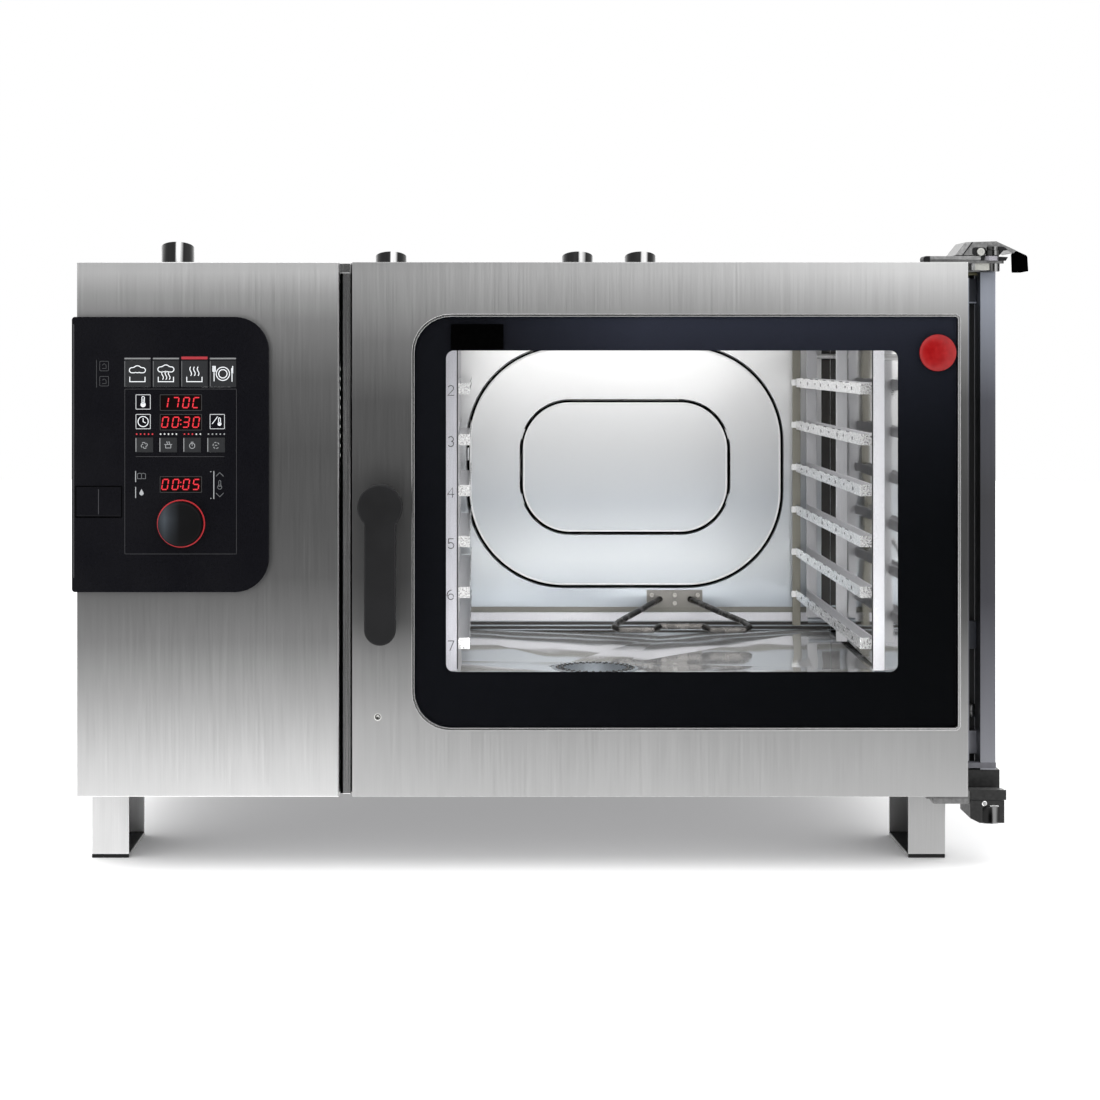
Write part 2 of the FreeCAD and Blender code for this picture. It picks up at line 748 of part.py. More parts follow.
def services():
    """Roof pipes, water valves, cable gland, cavity sensor and the power board."""
    pipes = []
    for index, (x, y, top) in enumerate(ROOF_PIPES):
        low = "cavity_top + sheet" if index > 1 else "casing_top - 60"
        length = "%d - (%s)" % (top, low)
        outer = rod("pipe_radius", length, x, y, low)
        inner = rod("pipe_radius - pipe_wall", length + " + 2", x, y, low + " - 1")
        slice_off = DOC.addObject("Part::Box", "slice")
        slice_off.setExpression("Length", bound("slice_side"))
        slice_off.setExpression("Width", bound("slice_side"))
        slice_off.setExpression("Height", bound("slice_side / 2"))
        tilt = FreeCAD.Rotation(V(1, 0, 0), -17)
        place(slice_off, "%d - slice_side / 2" % x, "%d - pipe_radius - 1" % y, top, tilt)
        pipes.append(cut(outer, inner, slice_off))
    keep(pipes[0], "control_vent_pipe")
    keep(group(*pipes[1:]), "rear_vent_pipes")

    valves = []
    for x in INLET_XS:
        valves.append(cut(
            join(block("%d - valve_width / 2" % x, "casing_depth - valve_depth - 12", SUPPLY_Z - 22,
                       "valve_width", "valve_depth", "valve_tall"),
                 rod("inlet_neck", 13, x, "casing_depth - 13", SUPPLY_Z, ALONG_Y),
                 rod("inlet_thread", "inlet_length", x, "casing_depth", SUPPLY_Z, ALONG_Y)),
            rod("inlet_bore", 20, x, "casing_depth", SUPPLY_Z, ALONG_Y)))
    keep(group(*valves), "water_valves")

    body = join(rod("gland_neck", 30, GLAND_X, "casing_depth - 12", SUPPLY_Z, ALONG_Y),
                rod("gland_collar", 8, GLAND_X, "casing_depth", SUPPLY_Z, ALONG_Y))
    bore = rod("gland_bore", 40, GLAND_X, "casing_depth - 15", SUPPLY_Z, ALONG_Y)
    keep(cut(body, bore), "cable_gland")

    board = [block("board_x", 300, 220, 3, 500, 420)]
    board += [rod(5, "cavity_left - sheet - wool - board_x - 3", "board_x + 3", y, z, ALONG_X)
              for y in (320, 780) for z in (240, 620)]
    board += [block("board_x - 45", 330 + 70 * i, 500, 45, 55, 80) for i in range(6)]
    board += [block("board_x - 80", 340, 280, 80, 120, 110),
              block("board_x - 30", 520, 260, 30, 220, 150)]
    keep(join(*board), "power_board")


# ------------------------------------------------------------------ controls
KEY_PLACES = [("mode_key_%d" % (i + 1), "mode_key_first + %d * mode_key_pitch" % i,
               "mode_key_height", "mode_key_size", "mode_key_size") for i in range(4)]
KEY_PLACES += [("function_key_%d" % (i + 1), "small_key_first + %d * small_key_pitch" % i,
                "small_key_height", "small_key_width", "small_key_tall") for i in range(4)]
DISPLAY_HEIGHTS = (591.6, 567, 489)


def centred(x, z, width, tall, y0, y1, grow_by="0"):
    """A box centred on a point of the front, a little larger all round when asked."""
    across = "((%s) / 2 + %s)" % (width, grow_by)
    up = "((%s) / 2 + %s)" % (tall, grow_by)
    return span("%s - %s" % (x, across), "%s + %s" % (x, across), y0, y1,
                "%s - %s" % (z, up), "%s + %s" % (z, up))


def control_bezel():
    """Black panel that covers the fascia's window and wraps round the casing's edge."""
    body = new_body()
    sketch = sketch_on(body, "XZ_Plane")
    small = "glass_small_corner"
    outline(sketch, "bezel_left", "bezel_right", "bezel_bottom", "bezel_top",
            (small, "bezel_corner", "bezel_corner", small))
    grow(body, sketch, "bezel_thick")
    place(body, 0, "-bezel_thick", 0)
    wrap = span("bezel_left", "casing_left", "-bezel_thick + 4", "bezel_wrap",
                "bezel_bottom + 4", "bezel_top - 4")
    front = "-bezel_thick - 1"
    tools = [centred(x, z, width, tall, front, "1", "key_gap")
             for _, x, z, width, tall in KEY_PLACES]
    tools += [centred("display_x", z, "display_width", "display_tall", front, "-3", "0.1")
              for z in DISPLAY_HEIGHTS]
    tools += [
        rod("bush_radius + running", "bezel_thick + 2", "dial_x", front, "dial_z", ALONG_Y),
        span("flap_left - 0.4", "flap_right + 0.4", front, "-bezel_thick + flap_thick + 0.4",
             "flap_bottom - 0.4", "flap_top + 0.4"),
    ]
    keep(cut(join(body, wrap), *tools), "control_bezel")


def panel_controls():
    """Keys, displays, the dial and the service flap."""
    for name, x, z, width, tall in KEY_PLACES:
        keep(centred(x, z, width, tall, "-bezel_thick - key_proud", "-key_back"), name)
    keep(group(*[centred("display_x", z, "display_width", "display_tall",
                         "-bezel_thick + 0.6", "-3") for z in DISPLAY_HEIGHTS]),
         "display_modules")

    ring = rod("ring_outer", 1.4, "dial_x", "-bezel_thick - 1.4", "dial_z", ALONG_Y)
    inside = rod("ring_inner", 4, "dial_x", "-bezel_thick - 2", "dial_z", ALONG_Y)
    keep(cut(ring, inside), "dial_ring")
    bush = rod("bush_radius", 17, "dial_x", "-bezel_thick + 0.5", "dial_z", ALONG_Y)
    bore = rod("stem_radius + running", 20, "dial_x", "-bezel_thick - 1", "dial_z", ALONG_Y)
    keep(cut(bush, bore), "dial_bush")
    cap = rod("dial_radius", 10, "dial_x", "-bezel_thick - 12.2", "dial_z", ALONG_Y)
    crown = DOC.addObject("Part::Cone", "crown")
    crown.setExpression("Radius1", bound("dial_radius - 6"))
    crown.setExpression("Radius2", bound("dial_radius"))
    crown.Height = 3
    place(crown, "dial_x", "-bezel_thick - 15.2", "dial_z", ALONG_Y)
    stem = rod("stem_radius", 18, "dial_x", "-bezel_thick - 3", "dial_z", ALONG_Y)
    keep(join(cap, crown, stem), "dial_knob")

    roll = "flap_thick / 2"
    leaf = span("flap_left", "flap_right", "-bezel_thick", "-bezel_thick + flap_thick",
                "flap_bottom + " + roll, "flap_top")
    knuckle = rod(roll, "flap_right - flap_left", "flap_left", "-bezel_thick + " + roll,
                  "flap_bottom + " + roll, ALONG_X)
    keep(join(leaf, knuckle), "service_flap")


# ------------------------------------------------------------------ door
def door():
    """Hollow stainless door with a black outer pane, an inner pane and a spacer between them."""
    skin = span("door_left", "door_right", 0, "door_thick", "casing_bottom", "casing_top")
    void = span("door_left + sheet", "door_right - sheet", "sheet", "door_thick - sheet",
                "casing_bottom + sheet", "casing_top - sheet")
    front_opening = join(
        rounded("glass_left", "glass_right - 60", "glass_bottom", "glass_top", "glass_corner",
                -1, "sheet + 1"),
        rounded("glass_left + 60", "glass_right", "glass_bottom", "glass_top",
                "glass_small_corner", -1, "sheet + 1"))
    rear_opening = rounded("inner_left", "inner_right", "inner_bottom", "inner_top",
                           "inner_corner", "door_thick - sheet - 1", "door_thick + 1")
    spindle_hole = rod("spindle_radius + running", "door_thick + 2", "handle_x", -1, "handle_z",
                       ALONG_Y)
    keep(cut(skin, void, front_opening, rear_opening, spindle_hole), "door_shell")

    small = "glass_small_corner"
    keep(plate("0", "glass_thick", "glass_left", "glass_right", "glass_bottom", "glass_top",
               ("glass_corner", small, small, "glass_corner")), "outer_glass")
    keep(plate("door_thick - glass_thick", "glass_thick", "inner_left", "inner_right",
               "inner_bottom", "inner_top", ("inner_corner",) * 4), "inner_glass")
    rings = [rounded("window_left - " + wall, "window_right + " + wall,
                     "window_bottom - " + wall, "window_top + " + wall,
                     "window_corner + " + wall, *depth)
             for wall, depth in (("spacer_outer", ("glass_thick", "door_thick - glass_thick")),
                                 ("spacer_inner", ("glass_thick - 1", "door_thick")))]
    keep(cut(*rings), "window_spacer")
    strips = [span(x0, x1, "strip_front", "strip_back", "window_bottom + 14", "window_top - 14")
              for x0, x1 in (("window_left - spacer_inner",
                              "window_left - spacer_inner + strip_thick"),
                             ("window_right + spacer_inner - strip_thick",
                              "window_right + spacer_inner"))]
    keep(group(*strips), "light_strips")
    keep(rod("badge_radius", 3, "badge_x", -3, "badge_z", ALONG_Y), "round_badge")


def handle():
    """Swinging handle on a spindle that turns the latch cam behind the door."""
    face = "-handle_stand - handle_thick"
    grip = join(
        rod("handle_head", "handle_thick", "handle_x", face, "handle_z", ALONG_Y),
        rod("handle_grip", "handle_thick", "handle_x", face, "handle_end", ALONG_Y),
        span("handle_x - handle_grip", "handle_x + handle_grip", face, "-handle_stand",
             "handle_end", "handle_z"),
        rod("handle_neck", "handle_stand - 0.2", "handle_x", "-handle_stand", "handle_z", ALONG_Y))
    keep(grip, "door_handle")
    spindle = join(
        rod("spindle_radius", "frame_face + 10.2", "handle_x", -0.2, "handle_z", ALONG_Y),
        span("handle_x - 5", "handle_x + 5", "frame_face + 2", "frame_face + 10", "handle_z",
             "handle_z + cam_length"))
    keep(spindle, "latch_spindle")


# ------------------------------------------------------------------ hinge side
ARM_OUTLINE = ((-50, 10), (-38, 27), (8, 29), (44, 12), (44, 8), (22, 8), (12, 16), (11, 10))
BLOCK_OUTLINE = ((-33, -12), (-33, -35), (-21, -41), (10.5, -41), (10.5, -12))


def casting(z_alias, offsets):
    """A casting that hangs over or under the door's corner."""
    body = new_body()
    sketch = sketch_on(body, "XZ_Plane")
    polygon(sketch, "pivot_x", z_alias, offsets)
    grow(body, sketch, "column_back - pivot_y + 12")
    return place(body, 0, "pivot_y - 12", 0)


def hinge_plate(left, low, high, pin_low, pin_high):
    """A flat plate on the door's edge that ends in an eye with a pin."""
    return join(
        span(left, "pivot_x", "pivot_y - 12", "pivot_y + 12", low, high),
        rod(12, "(%s) - (%s)" % (high, low), "pivot_x", "pivot_y", low),
        rod("pin_radius", "(%s) - (%s)" % (pin_high, pin_low), "pivot_x", "pivot_y", pin_low))


def hinge_side():
    """Door plates with their pins, the arm and block they turn in, and the slide that bears them."""
    keep(group(
        hinge_plate(512, "casing_top", "casing_top + 6", "casing_top + 6", "casing_top + 24"),
        hinge_plate(515, "casing_bottom - 10", "casing_bottom", "casing_bottom - 32",
                    "casing_bottom - 10")), "door_hinge_plates")
    bore = "pin_radius + running"
    riser = span("column_left", "column_right", "column_front + 2", "column_back",
                 "column_top", "casing_top + 10")
    keep(cut(join(casting("casing_top", ARM_OUTLINE), riser),
             rod(bore, 40, "pivot_x", "pivot_y", "casing_top")), "top_hinge_arm")
    keep(span("pivot_x + 22", "pivot_x + 44", "pivot_y - 8", "column_back - 4",
              "casing_top - 10", "casing_top + 8"), "guide_block")
    shoulder = span("pivot_x - 33", "pivot_x + 10.5", "column_front + 2", "column_back",
                    "casing_bottom - 12", "column_bottom")
    keep(cut(join(casting("casing_bottom", BLOCK_OUTLINE), shoulder),
             rod(bore, 30, "pivot_x", "pivot_y", "casing_bottom - 36")), "bottom_hinge_block")

    tube = cut(span("column_left", "column_right", "column_front", "column_back",
                    "column_bottom", "column_top"),
               span("column_left + 3", "column_right - 3", "column_front + 3", "column_back - 3",
                    "column_bottom - 1", "column_top + 1"))
    trolleys = [span("casing_right + 3", "column_left", "column_front + 22", "column_back - 4",
                     z, z + " + 30") for z in ("casing_top - 50", "casing_bottom + 39")]
    keep(join(tube, *trolleys), "slide_column")
    rails = []
    for z in ("casing_top - 55", "casing_bottom + 34"):
        outer = span("casing_right", "casing_right + 17", "frame_face", "rail_end", z, z + " + 40")
        slot = span("casing_right + 3", "casing_right + 18", "frame_face - 1", "rail_end + 1",
                    z + " + 3", z + " + 37")
        rails.append(cut(outer, slot))
    keep(group(*rails), "slide_rails")


# ------------------------------------------------------------------ build, check and write
SECTIONS = (casing_panels, control_fascia, column_strip, front_frame, legs, cavity_liner,
            insulation, mouth_gasket, rack_studs, drain, wire_hook, fan, air_baffle, services,
            control_bezel, panel_controls, door, handle, hinge_side)

for section in SECTIONS:
    section()
rack("rack_left", "rack_left_outer", 1)
rack("rack_right", "rack_right_outer", -1)
DOC.recompute()

for item in DOC.Objects:
    failed = {"Invalid", "Error"}.intersection(item.State)
    assert not failed, "%s (%s) failed: %s" % (item.Label, item.Name, item.State)
os.makedirs("parts", exist_ok=True)
for item in SUBPARTS:
    assert not item.Shape.isNull() and item.Shape.isValid(), item.Label + " has a bad shape"
for item in SUBPARTS:
    item.Shape.exportStep("parts/%s.step" % item.Label)
print("%d sub-parts written" % len(SUBPARTS))
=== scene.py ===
"""Looks of the combi steamer oven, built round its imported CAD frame, in metres."""
import json
import math
import bmesh
import bpy
from mathutils import Matrix, Vector

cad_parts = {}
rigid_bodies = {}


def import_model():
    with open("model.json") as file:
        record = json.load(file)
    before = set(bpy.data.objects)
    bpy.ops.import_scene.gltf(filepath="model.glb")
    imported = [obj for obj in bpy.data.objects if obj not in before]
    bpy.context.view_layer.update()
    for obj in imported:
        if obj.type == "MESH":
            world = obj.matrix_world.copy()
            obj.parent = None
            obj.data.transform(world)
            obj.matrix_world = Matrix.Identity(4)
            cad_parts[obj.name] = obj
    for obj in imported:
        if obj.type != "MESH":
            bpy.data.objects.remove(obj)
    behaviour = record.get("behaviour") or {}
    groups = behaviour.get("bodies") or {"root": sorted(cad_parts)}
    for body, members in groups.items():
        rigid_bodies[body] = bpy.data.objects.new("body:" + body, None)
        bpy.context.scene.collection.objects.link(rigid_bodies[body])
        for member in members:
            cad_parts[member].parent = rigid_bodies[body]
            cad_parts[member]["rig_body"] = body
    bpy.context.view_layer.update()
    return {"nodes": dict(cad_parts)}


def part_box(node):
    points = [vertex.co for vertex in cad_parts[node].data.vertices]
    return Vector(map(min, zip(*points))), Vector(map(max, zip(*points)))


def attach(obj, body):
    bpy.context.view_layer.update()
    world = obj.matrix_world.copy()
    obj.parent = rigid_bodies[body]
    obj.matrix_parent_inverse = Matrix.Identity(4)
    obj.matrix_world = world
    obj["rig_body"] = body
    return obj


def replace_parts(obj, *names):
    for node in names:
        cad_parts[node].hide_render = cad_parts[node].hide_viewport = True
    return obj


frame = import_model()
NODES = frame["nodes"]
MM = 0.001
# Sizes below are millimetres from a datum: the middle of the casing's width, the plane of the
# closed door's glass, and the floor.
DATUM = Vector(((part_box("control_fascia")[0].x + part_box("right_side_panel")[1].x) / 2,
                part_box("outer_glass")[0].y, 0.0))


# ------------------------------------------------------------------ material building blocks
RANGE_INPUTS = ("From Min", "From Max", "To Min", "To Max")


class Shade:
    """A node material with a Principled shader and short ways to add nodes."""

    def __init__(self, name):
        self.material = bpy.data.materials.new(name)
        self.material.use_nodes = True
        self.tree = self.material.node_tree
        self.nodes = self.tree.nodes
        self.bsdf = self.nodes["Principled BSDF"]
        self.place = self.nodes.new("ShaderNodeTexCoord").outputs["Object"]

    def set(self, **values):
        for name, value in values.items():
            self.feed(self.bsdf.inputs[name.replace("_", " ")], value)
        return self

    def feed(self, socket, value):
        if isinstance(value, bpy.types.NodeSocket):
            self.tree.links.new(value, socket)
        elif isinstance(value, (tuple, list)) and len(value) == 3 and len(socket.default_value) == 4:
            socket.default_value = (*value, 1)
        else:
            socket.default_value = value

    def stretched(self, scale):
        node = self.nodes.new("ShaderNodeMapping")
        self.tree.links.new(self.place, node.inputs["Vector"])
        node.inputs["Scale"].default_value = scale
        return node.outputs["Vector"]

    def noise(self, scale, detail=2.0, roughness=0.5):
        """Noise whose density differs along each axis, in waves per metre."""
        node = self.nodes.new("ShaderNodeTexNoise")
        vector = self.stretched(scale if isinstance(scale, tuple) else (scale,) * 3)
        self.tree.links.new(vector, node.inputs["Vector"])
        node.inputs["Scale"].default_value = 1.0
        node.inputs["Detail"].default_value = detail
        node.inputs["Roughness"].default_value = roughness
        return node.outputs["Fac"]

    def cells(self, scale):
        node = self.nodes.new("ShaderNodeTexVoronoi")
        self.tree.links.new(self.stretched((scale,) * 3), node.inputs["Vector"])
        node.inputs["Scale"].default_value = 1.0
        return node.outputs["Distance"]

    def part(self, vector, index):
        node = self.nodes.new("ShaderNodeSeparateXYZ")
        self.tree.links.new(vector, node.inputs[0])
        return node.outputs[index]

    def axis(self, index):
        return self.part(self.place, index)

    def within(self, index, node):
        """Place along an axis inside a CAD node's box, from 0 to 1."""
        low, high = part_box(node)
        return self.spread(self.axis(index), 0.0, 1.0, low[index], high[index])

    def facing(self, index):
        """How much the surface looks along an axis, from -1 to 1."""
        return self.part(self.nodes.new("ShaderNodeTexCoord").outputs["Normal"], index)

    def frontal(self):
        """1 seen from straight in front, falling to 0 seen from the side or from above."""
        geometry = self.nodes.new("ShaderNodeNewGeometry")
        return self.spread(self.part(geometry.outputs["Incoming"], 1), 1.0, 0.0, -0.94, -0.78)

    def math(self, kind, first, second=0.0):
        node = self.nodes.new("ShaderNodeMath")
        node.operation = kind
        self.feed(node.inputs[0], first)
        self.feed(node.inputs[1], second)
        return node.outputs[0]

    def spread(self, value, low, high, start=0.0, end=1.0):
        """Map a value from start..end to low..high, clamped."""
        node = self.nodes.new("ShaderNodeMapRange")
        self.feed(node.inputs["Value"], value)
        for name, number in zip(RANGE_INPUTS, (start, end, low, high)):
            node.inputs[name].default_value = number
        return node.outputs["Result"]

    def ramp(self, value, stops):
        node = self.nodes.new("ShaderNodeValToRGB")
        self.feed(node.inputs["Fac"], value)
        elements = node.color_ramp.elements
        elements.remove(elements[0])
        elements[0].position = stops[0][0]
        for at, color in stops[1:]:
            elements.new(at)
        for element, (at, color) in zip(elements, stops):
            element.color = (*color, 1) if isinstance(color, tuple) else (color, color, color, 1)
        return node.outputs["Color"]

    def mix(self, amount, first, second, blend="MIX"):
        node = self.nodes.new("ShaderNodeMix")
        node.data_type = "RGBA"
        node.blend_type = blend
        self.feed(node.inputs["Factor"], amount)
        self.feed(node.inputs[6], first)
        self.feed(node.inputs[7], second)
        return node.outputs[2]

    def bump(self, height, strength, distance=0.001, under=None):
        node = self.nodes.new("ShaderNodeBump")
        self.feed(node.inputs["Strength"], strength)
        node.inputs["Distance"].default_value = distance
        self.tree.links.new(height, node.inputs["Height"])
        if under is not None:
            self.tree.links.new(under, node.inputs["Normal"])
        self.tree.links.new(node.outputs["Normal"], self.bsdf.inputs["Normal"])
        return node.outputs["Normal"]


MATERIALS = {}


def material(build):
    """Decorator: make a material once, under its function's name."""
    def once(*arguments):
        key = (build.__name__, arguments)
        if key not in MATERIALS:
            MATERIALS[key] = build(Shade("_".join([build.__name__, *map(str, arguments)])[:60]),
                                   *arguments).material
        return MATERIALS[key]
    return once


GRAIN = {"x": (9, 1400, 1400), "y": (1400, 9, 1400), "z": (1400, 1400, 9)}


def brushed(shade, along, colour, rough=0.3, mark=0.16):
    """Brushed metal: fine lines along one axis, in colour, roughness and bump."""
    fine = shade.noise(GRAIN[along], detail=3.0, roughness=0.7)
    broad = shade.noise(tuple(s / 18 for s in GRAIN[along]), detail=2.0)
    cloud = shade.noise(3.0, detail=3.0)
    tone = shade.spread(fine, 1 - mark, 1 + mark, 0.25, 0.75)
    tone = shade.math("MULTIPLY", tone, shade.spread(broad, 1 - mark / 14, 1 + mark / 14, 0.3, 0.7))
    tone = shade.math("MULTIPLY", tone, shade.spread(cloud, 0.96, 1.04, 0.3, 0.7))
    shade.set(Base_Color=shade.mix(1.0, colour, tone, "MULTIPLY"), Metallic=1.0,
              Roughness=shade.spread(fine, rough - 0.03, rough + 0.06, 0.25, 0.75))
    shade.bump(fine, 0.08, 0.0002)
    return shade


def speckled(shade, scale, low, high, rough, detail=3.0, start=0.3, dent=None, **values):
    """Two tones mixed by noise; the roughness is a number, or a pair that the noise mixes too."""
    speck = shade.noise(scale, detail=detail)
    if isinstance(rough, tuple):
        rough = shade.spread(speck, *rough, 0.3, 0.7)
    shade.set(Base_Color=shade.ramp(speck, ((start, low), (0.7, high))), Roughness=rough, **values)
    if dent:
        shade.bump(speck, *dent)
    return shade


SIDE_TONE = (0.34, 0.34, 0.345)
# Vertical light and shade of the front faces, from the bottom edge to the top edge.
FRONT_TONES = {
    "control_fascia": ((0.0, 0.95), (0.07, 0.82), (0.18, 0.54), (0.29, 0.30), (0.41, 0.165),
                       (0.52, 0.14), (0.65, 0.13), (0.78, 0.175), (0.89, 0.31), (0.94, 0.47),
                       (0.98, 0.68)),
    "door_shell": ((0.0, 0.72), (0.07, 0.64), (0.14, 0.56), (0.20, 0.44), (0.26, 0.34),
                   (0.33, 0.19), (0.41, 0.125), (0.55, 0.115), (0.74, 0.15), (0.85, 0.30),
                   (0.94, 0.56), (0.98, 0.68))}
# Painted light and shade from left to right, low down and at the top edge.
ACROSS_TONES = {
    "control_fascia": (((0.0, 0.90), (1.0, 1.0)), ((0.0, 0.80), (1.0, 1.0))),
    "door_shell": (((0.0, 1.0), (0.5, 0.85), (1.0, 0.66)),
                   ((0.0, 0.62), (0.45, 0.98), (0.9, 1.22), (1.0, 1.15)))}


@material
def front_steel(shade, node):
    """Brushed front: painted studio light on the front face only, even steel from elsewhere."""
    height, across = shade.within(2, node), shade.within(0, node)
    lower, upper = (shade.ramp(across, tones) for tones in ACROSS_TONES[node])
    side = shade.mix(shade.math("POWER", height, 4.0), lower, upper)
    colour = shade.mix(1.0, shade.ramp(height, FRONT_TONES[node]), side, "MULTIPLY")
    front = shade.spread(shade.facing(1), 1.0, 0.0, -0.7, -0.3)
    colour = shade.mix(shade.math("MULTIPLY", front, shade.frontal()), SIDE_TONE, colour)
    return brushed(shade, "z", colour, 0.36, 0.035)


@material
def casing_steel(shade, along):
    return brushed(shade, along, SIDE_TONE, 0.34, 0.10)


@material
def bright_steel(shade):
    return brushed(shade, "z", (0.86, 0.86, 0.86), 0.18, 0.08)


@material
def turned_steel(shade):
    return brushed(shade, "z", (0.62, 0.62, 0.60), 0.16, 0.10)


def wall_tone(shade):
    """Painted light on the back wall and what hangs on it: bright at the top, bluish low down."""
    return shade.ramp(shade.within(2, "cavity_liner"), (
        (0.0, (0.40, 0.43, 0.46)), (0.12, (0.46, 0.50, 0.54)), (0.25, (0.62, 0.65, 0.67)),
        (0.43, (0.54, 0.57, 0.60)), (0.62, (0.70, 0.71, 0.72)), (0.8, (0.88, 0.88, 0.88)),
        (1.0, (0.93, 0.93, 0.92))))


@material
def cavity_steel(shade):
    """Polished floor and sides; the back wall is satin, in painted light from the top."""
    back, floor = (shade.spread(shade.math("ABSOLUTE", shade.facing(axis)), 0.0, 1.0, 0.6, 0.8)
                   for axis in (1, 2))
    wave = shade.noise((4.0, 2.0, 5.0), detail=2.0)
    scratch = shade.noise((40, 600, 900), detail=4.0, roughness=0.7)
    polished = shade.mix(floor, shade.ramp(scratch, ((0.3, 0.50), (0.7, 0.61))),
                         shade.ramp(scratch, ((0.3, 0.84), (0.7, 0.94))))
    rough = shade.math("ADD", 0.045, shade.math("MULTIPLY", back, 0.27))
    metal = shade.math("ADD", shade.spread(back, 1.0, 0.6), shade.math("MULTIPLY", floor, -0.42))
    shade.set(Base_Color=shade.mix(back, polished, wall_tone(shade)), Metallic=metal,
              Roughness=rough)
    swell = shade.math("ADD", shade.spread(back, 0.12, 0.05), shade.math("MULTIPLY", floor, 0.12))
    first = shade.bump(wave, swell, 0.03)
    shade.bump(scratch, 0.04, 0.0002, first)
    return shade


@material
def wall_steel(shade):
    """Satin sheet of the back wall and baffle, in painted light from the top of the cavity."""
    wave = shade.noise((3.0, 3.0, 3.0), detail=1.5)
    grain = shade.noise((30, 900, 900), detail=3.0)
    colour = wall_tone(shade)
    tone = shade.spread(grain, 0.985, 1.015, 0.3, 0.7)
    shade.set(Base_Color=shade.mix(1.0, colour, tone, "MULTIPLY"), Metallic=0.6,
              Roughness=shade.spread(grain, 0.315, 0.335, 0.3, 0.7))
    first = shade.bump(wave, 0.25, 0.03)
    shade.bump(grain, 0.015, 0.0001, first)
    return shade


@material
def satin(shade, red, green, blue):
    """Satin sheet that looks even from every side."""
    grain = shade.noise((900, 900, 30), detail=3.0)
    tone = shade.spread(grain, 0.93, 1.05, 0.3, 0.7)
    shade.set(Base_Color=shade.mix(1.0, (red, green, blue), tone, "MULTIPLY"), Metallic=0.25,
              Roughness=0.36)
    shade.bump(grain, 0.08, 0.0002)
    return shade


@material
def leg_steel(shade):
    """Folded leg sheet: painted light in front, painted deep shade on the open inner sides."""
    across = shade.math("SUBTRACT", shade.axis(0), DATUM.x)
    side = shade.math("MULTIPLY", shade.facing(0), shade.math("SIGN", across))
    inner = shade.spread(side, 1.0, 0.0, -0.7, -0.5)
    front = shade.spread(shade.facing(1), 1.0, 0.0, -0.7, -0.3)
    light = shade.ramp(shade.spread(across, 0.0, 1.0, -0.5, 0.5), ((0.0, 0.97), (1.0, 0.52)))
    light = shade.mix(shade.math("MULTIPLY", front, shade.frontal()), SIDE_TONE, light)
    deep = shade.mix(shade.frontal(), (0.10, 0.10, 0.10), (0.003, 0.003, 0.003))
    return brushed(shade, "z", shade.mix(inner, light, deep), 0.32, 0.06)


@material
def rack_steel(shade):
    return speckled(shade, 420.0, 0.62, 0.93, (0.18, 0.42), dent=(0.5, 0.0006), Metallic=0.85)


@material
def dark_wire(shade):
    return speckled(shade, 60.0, (0.07, 0.068, 0.065), (0.20, 0.19, 0.18), (0.18, 0.34),
                    dent=(0.1, 0.0005), Metallic=1.0)


@material
def gloss_black(shade):
    """Glossy moulded black with a faint ripple and dust-fine speckle."""
    ripple = shade.noise(14.0, detail=2.0)
    dust = shade.noise(1800.0, detail=2.0)
    colour = shade.ramp(dust, ((0.35, (0.003, 0.003, 0.004)), (0.75, (0.006, 0.006, 0.008))))
    shade.set(Base_Color=colour, Roughness=shade.spread(ripple, 0.16, 0.24, 0.3, 0.7),
              Specular_IOR_Level=0.16)
    shade.bump(ripple, 0.04, 0.002)
    return shade


@material
def knob_black(shade):
    """Domed gloss black with a painted soft bluish sheen on its left."""
    across = shade.ramp(shade.within(0, "dial_knob"), ((0.0, 0.35), (0.16, 1.0), (0.30, 0.45),
                                                       (0.50, 0.03), (1.0, 0.0)))
    up = shade.ramp(shade.within(2, "dial_knob"), ((0.0, 0.25), (0.30, 0.55), (0.62, 1.0),
                                                   (0.9, 0.65)))
    sheen = shade.math("MULTIPLY", across, up)
    dust = shade.noise(1500.0, detail=2.0)
    tone = shade.math("MULTIPLY", sheen, shade.spread(dust, 0.85, 1.0, 0.3, 0.7))
    shade.set(Base_Color=shade.mix(tone, (0.0012, 0.0012, 0.0014), (0.046, 0.054, 0.064)),
              Roughness=0.5, Specular_IOR_Level=0.08)
    return shade


@material
def matte_black(shade, level):
    """Sparked plastic: fine pits over a dark base."""
    pits = shade.cells(1700.0)
    wear = shade.noise(25.0, detail=3.0)
    colour = shade.ramp(wear, ((0.3, (level, level, level * 1.1)),
                               (0.7, (level * 1.35, level * 1.35, level * 1.55))))
    shade.set(Base_Color=colour, Roughness=shade.spread(wear, 0.42, 0.55, 0.3, 0.7),
              Specular_IOR_Level=0.2)
    shade.bump(pits, 0.18, 0.0003)
    return shade


@material
def key_face(shade):
    """Dark grey key caps with a fine speckle."""
    return speckled(shade, 2600.0, (0.008, 0.0085, 0.0098), (0.017, 0.018, 0.020), 0.5, detail=2.0,
                    start=0.35, dent=(0.15, 0.0002), Specular_IOR_Level=0.2)


@material
def glow(shade, red, green, blue, strength):
    """Printed or lit mark, with a slight unevenness."""
    uneven = shade.noise(900.0)
    tone = shade.spread(uneven, 0.85, 1.0, 0.3, 0.7)
    colour = shade.mix(1.0, (red, green, blue), tone, "MULTIPLY")
    shade.set(Base_Color=colour, Roughness=0.5, Emission_Color=colour, Emission_Strength=strength)
    return shade


@material
def window_red(shade):
    """Smoked red window of a digit display."""
    return speckled(shade, 300.0, (0.0016, 0.0008, 0.0008), (0.004, 0.001, 0.001), 0.3, detail=2.0,
                    Specular_IOR_Level=0.1)


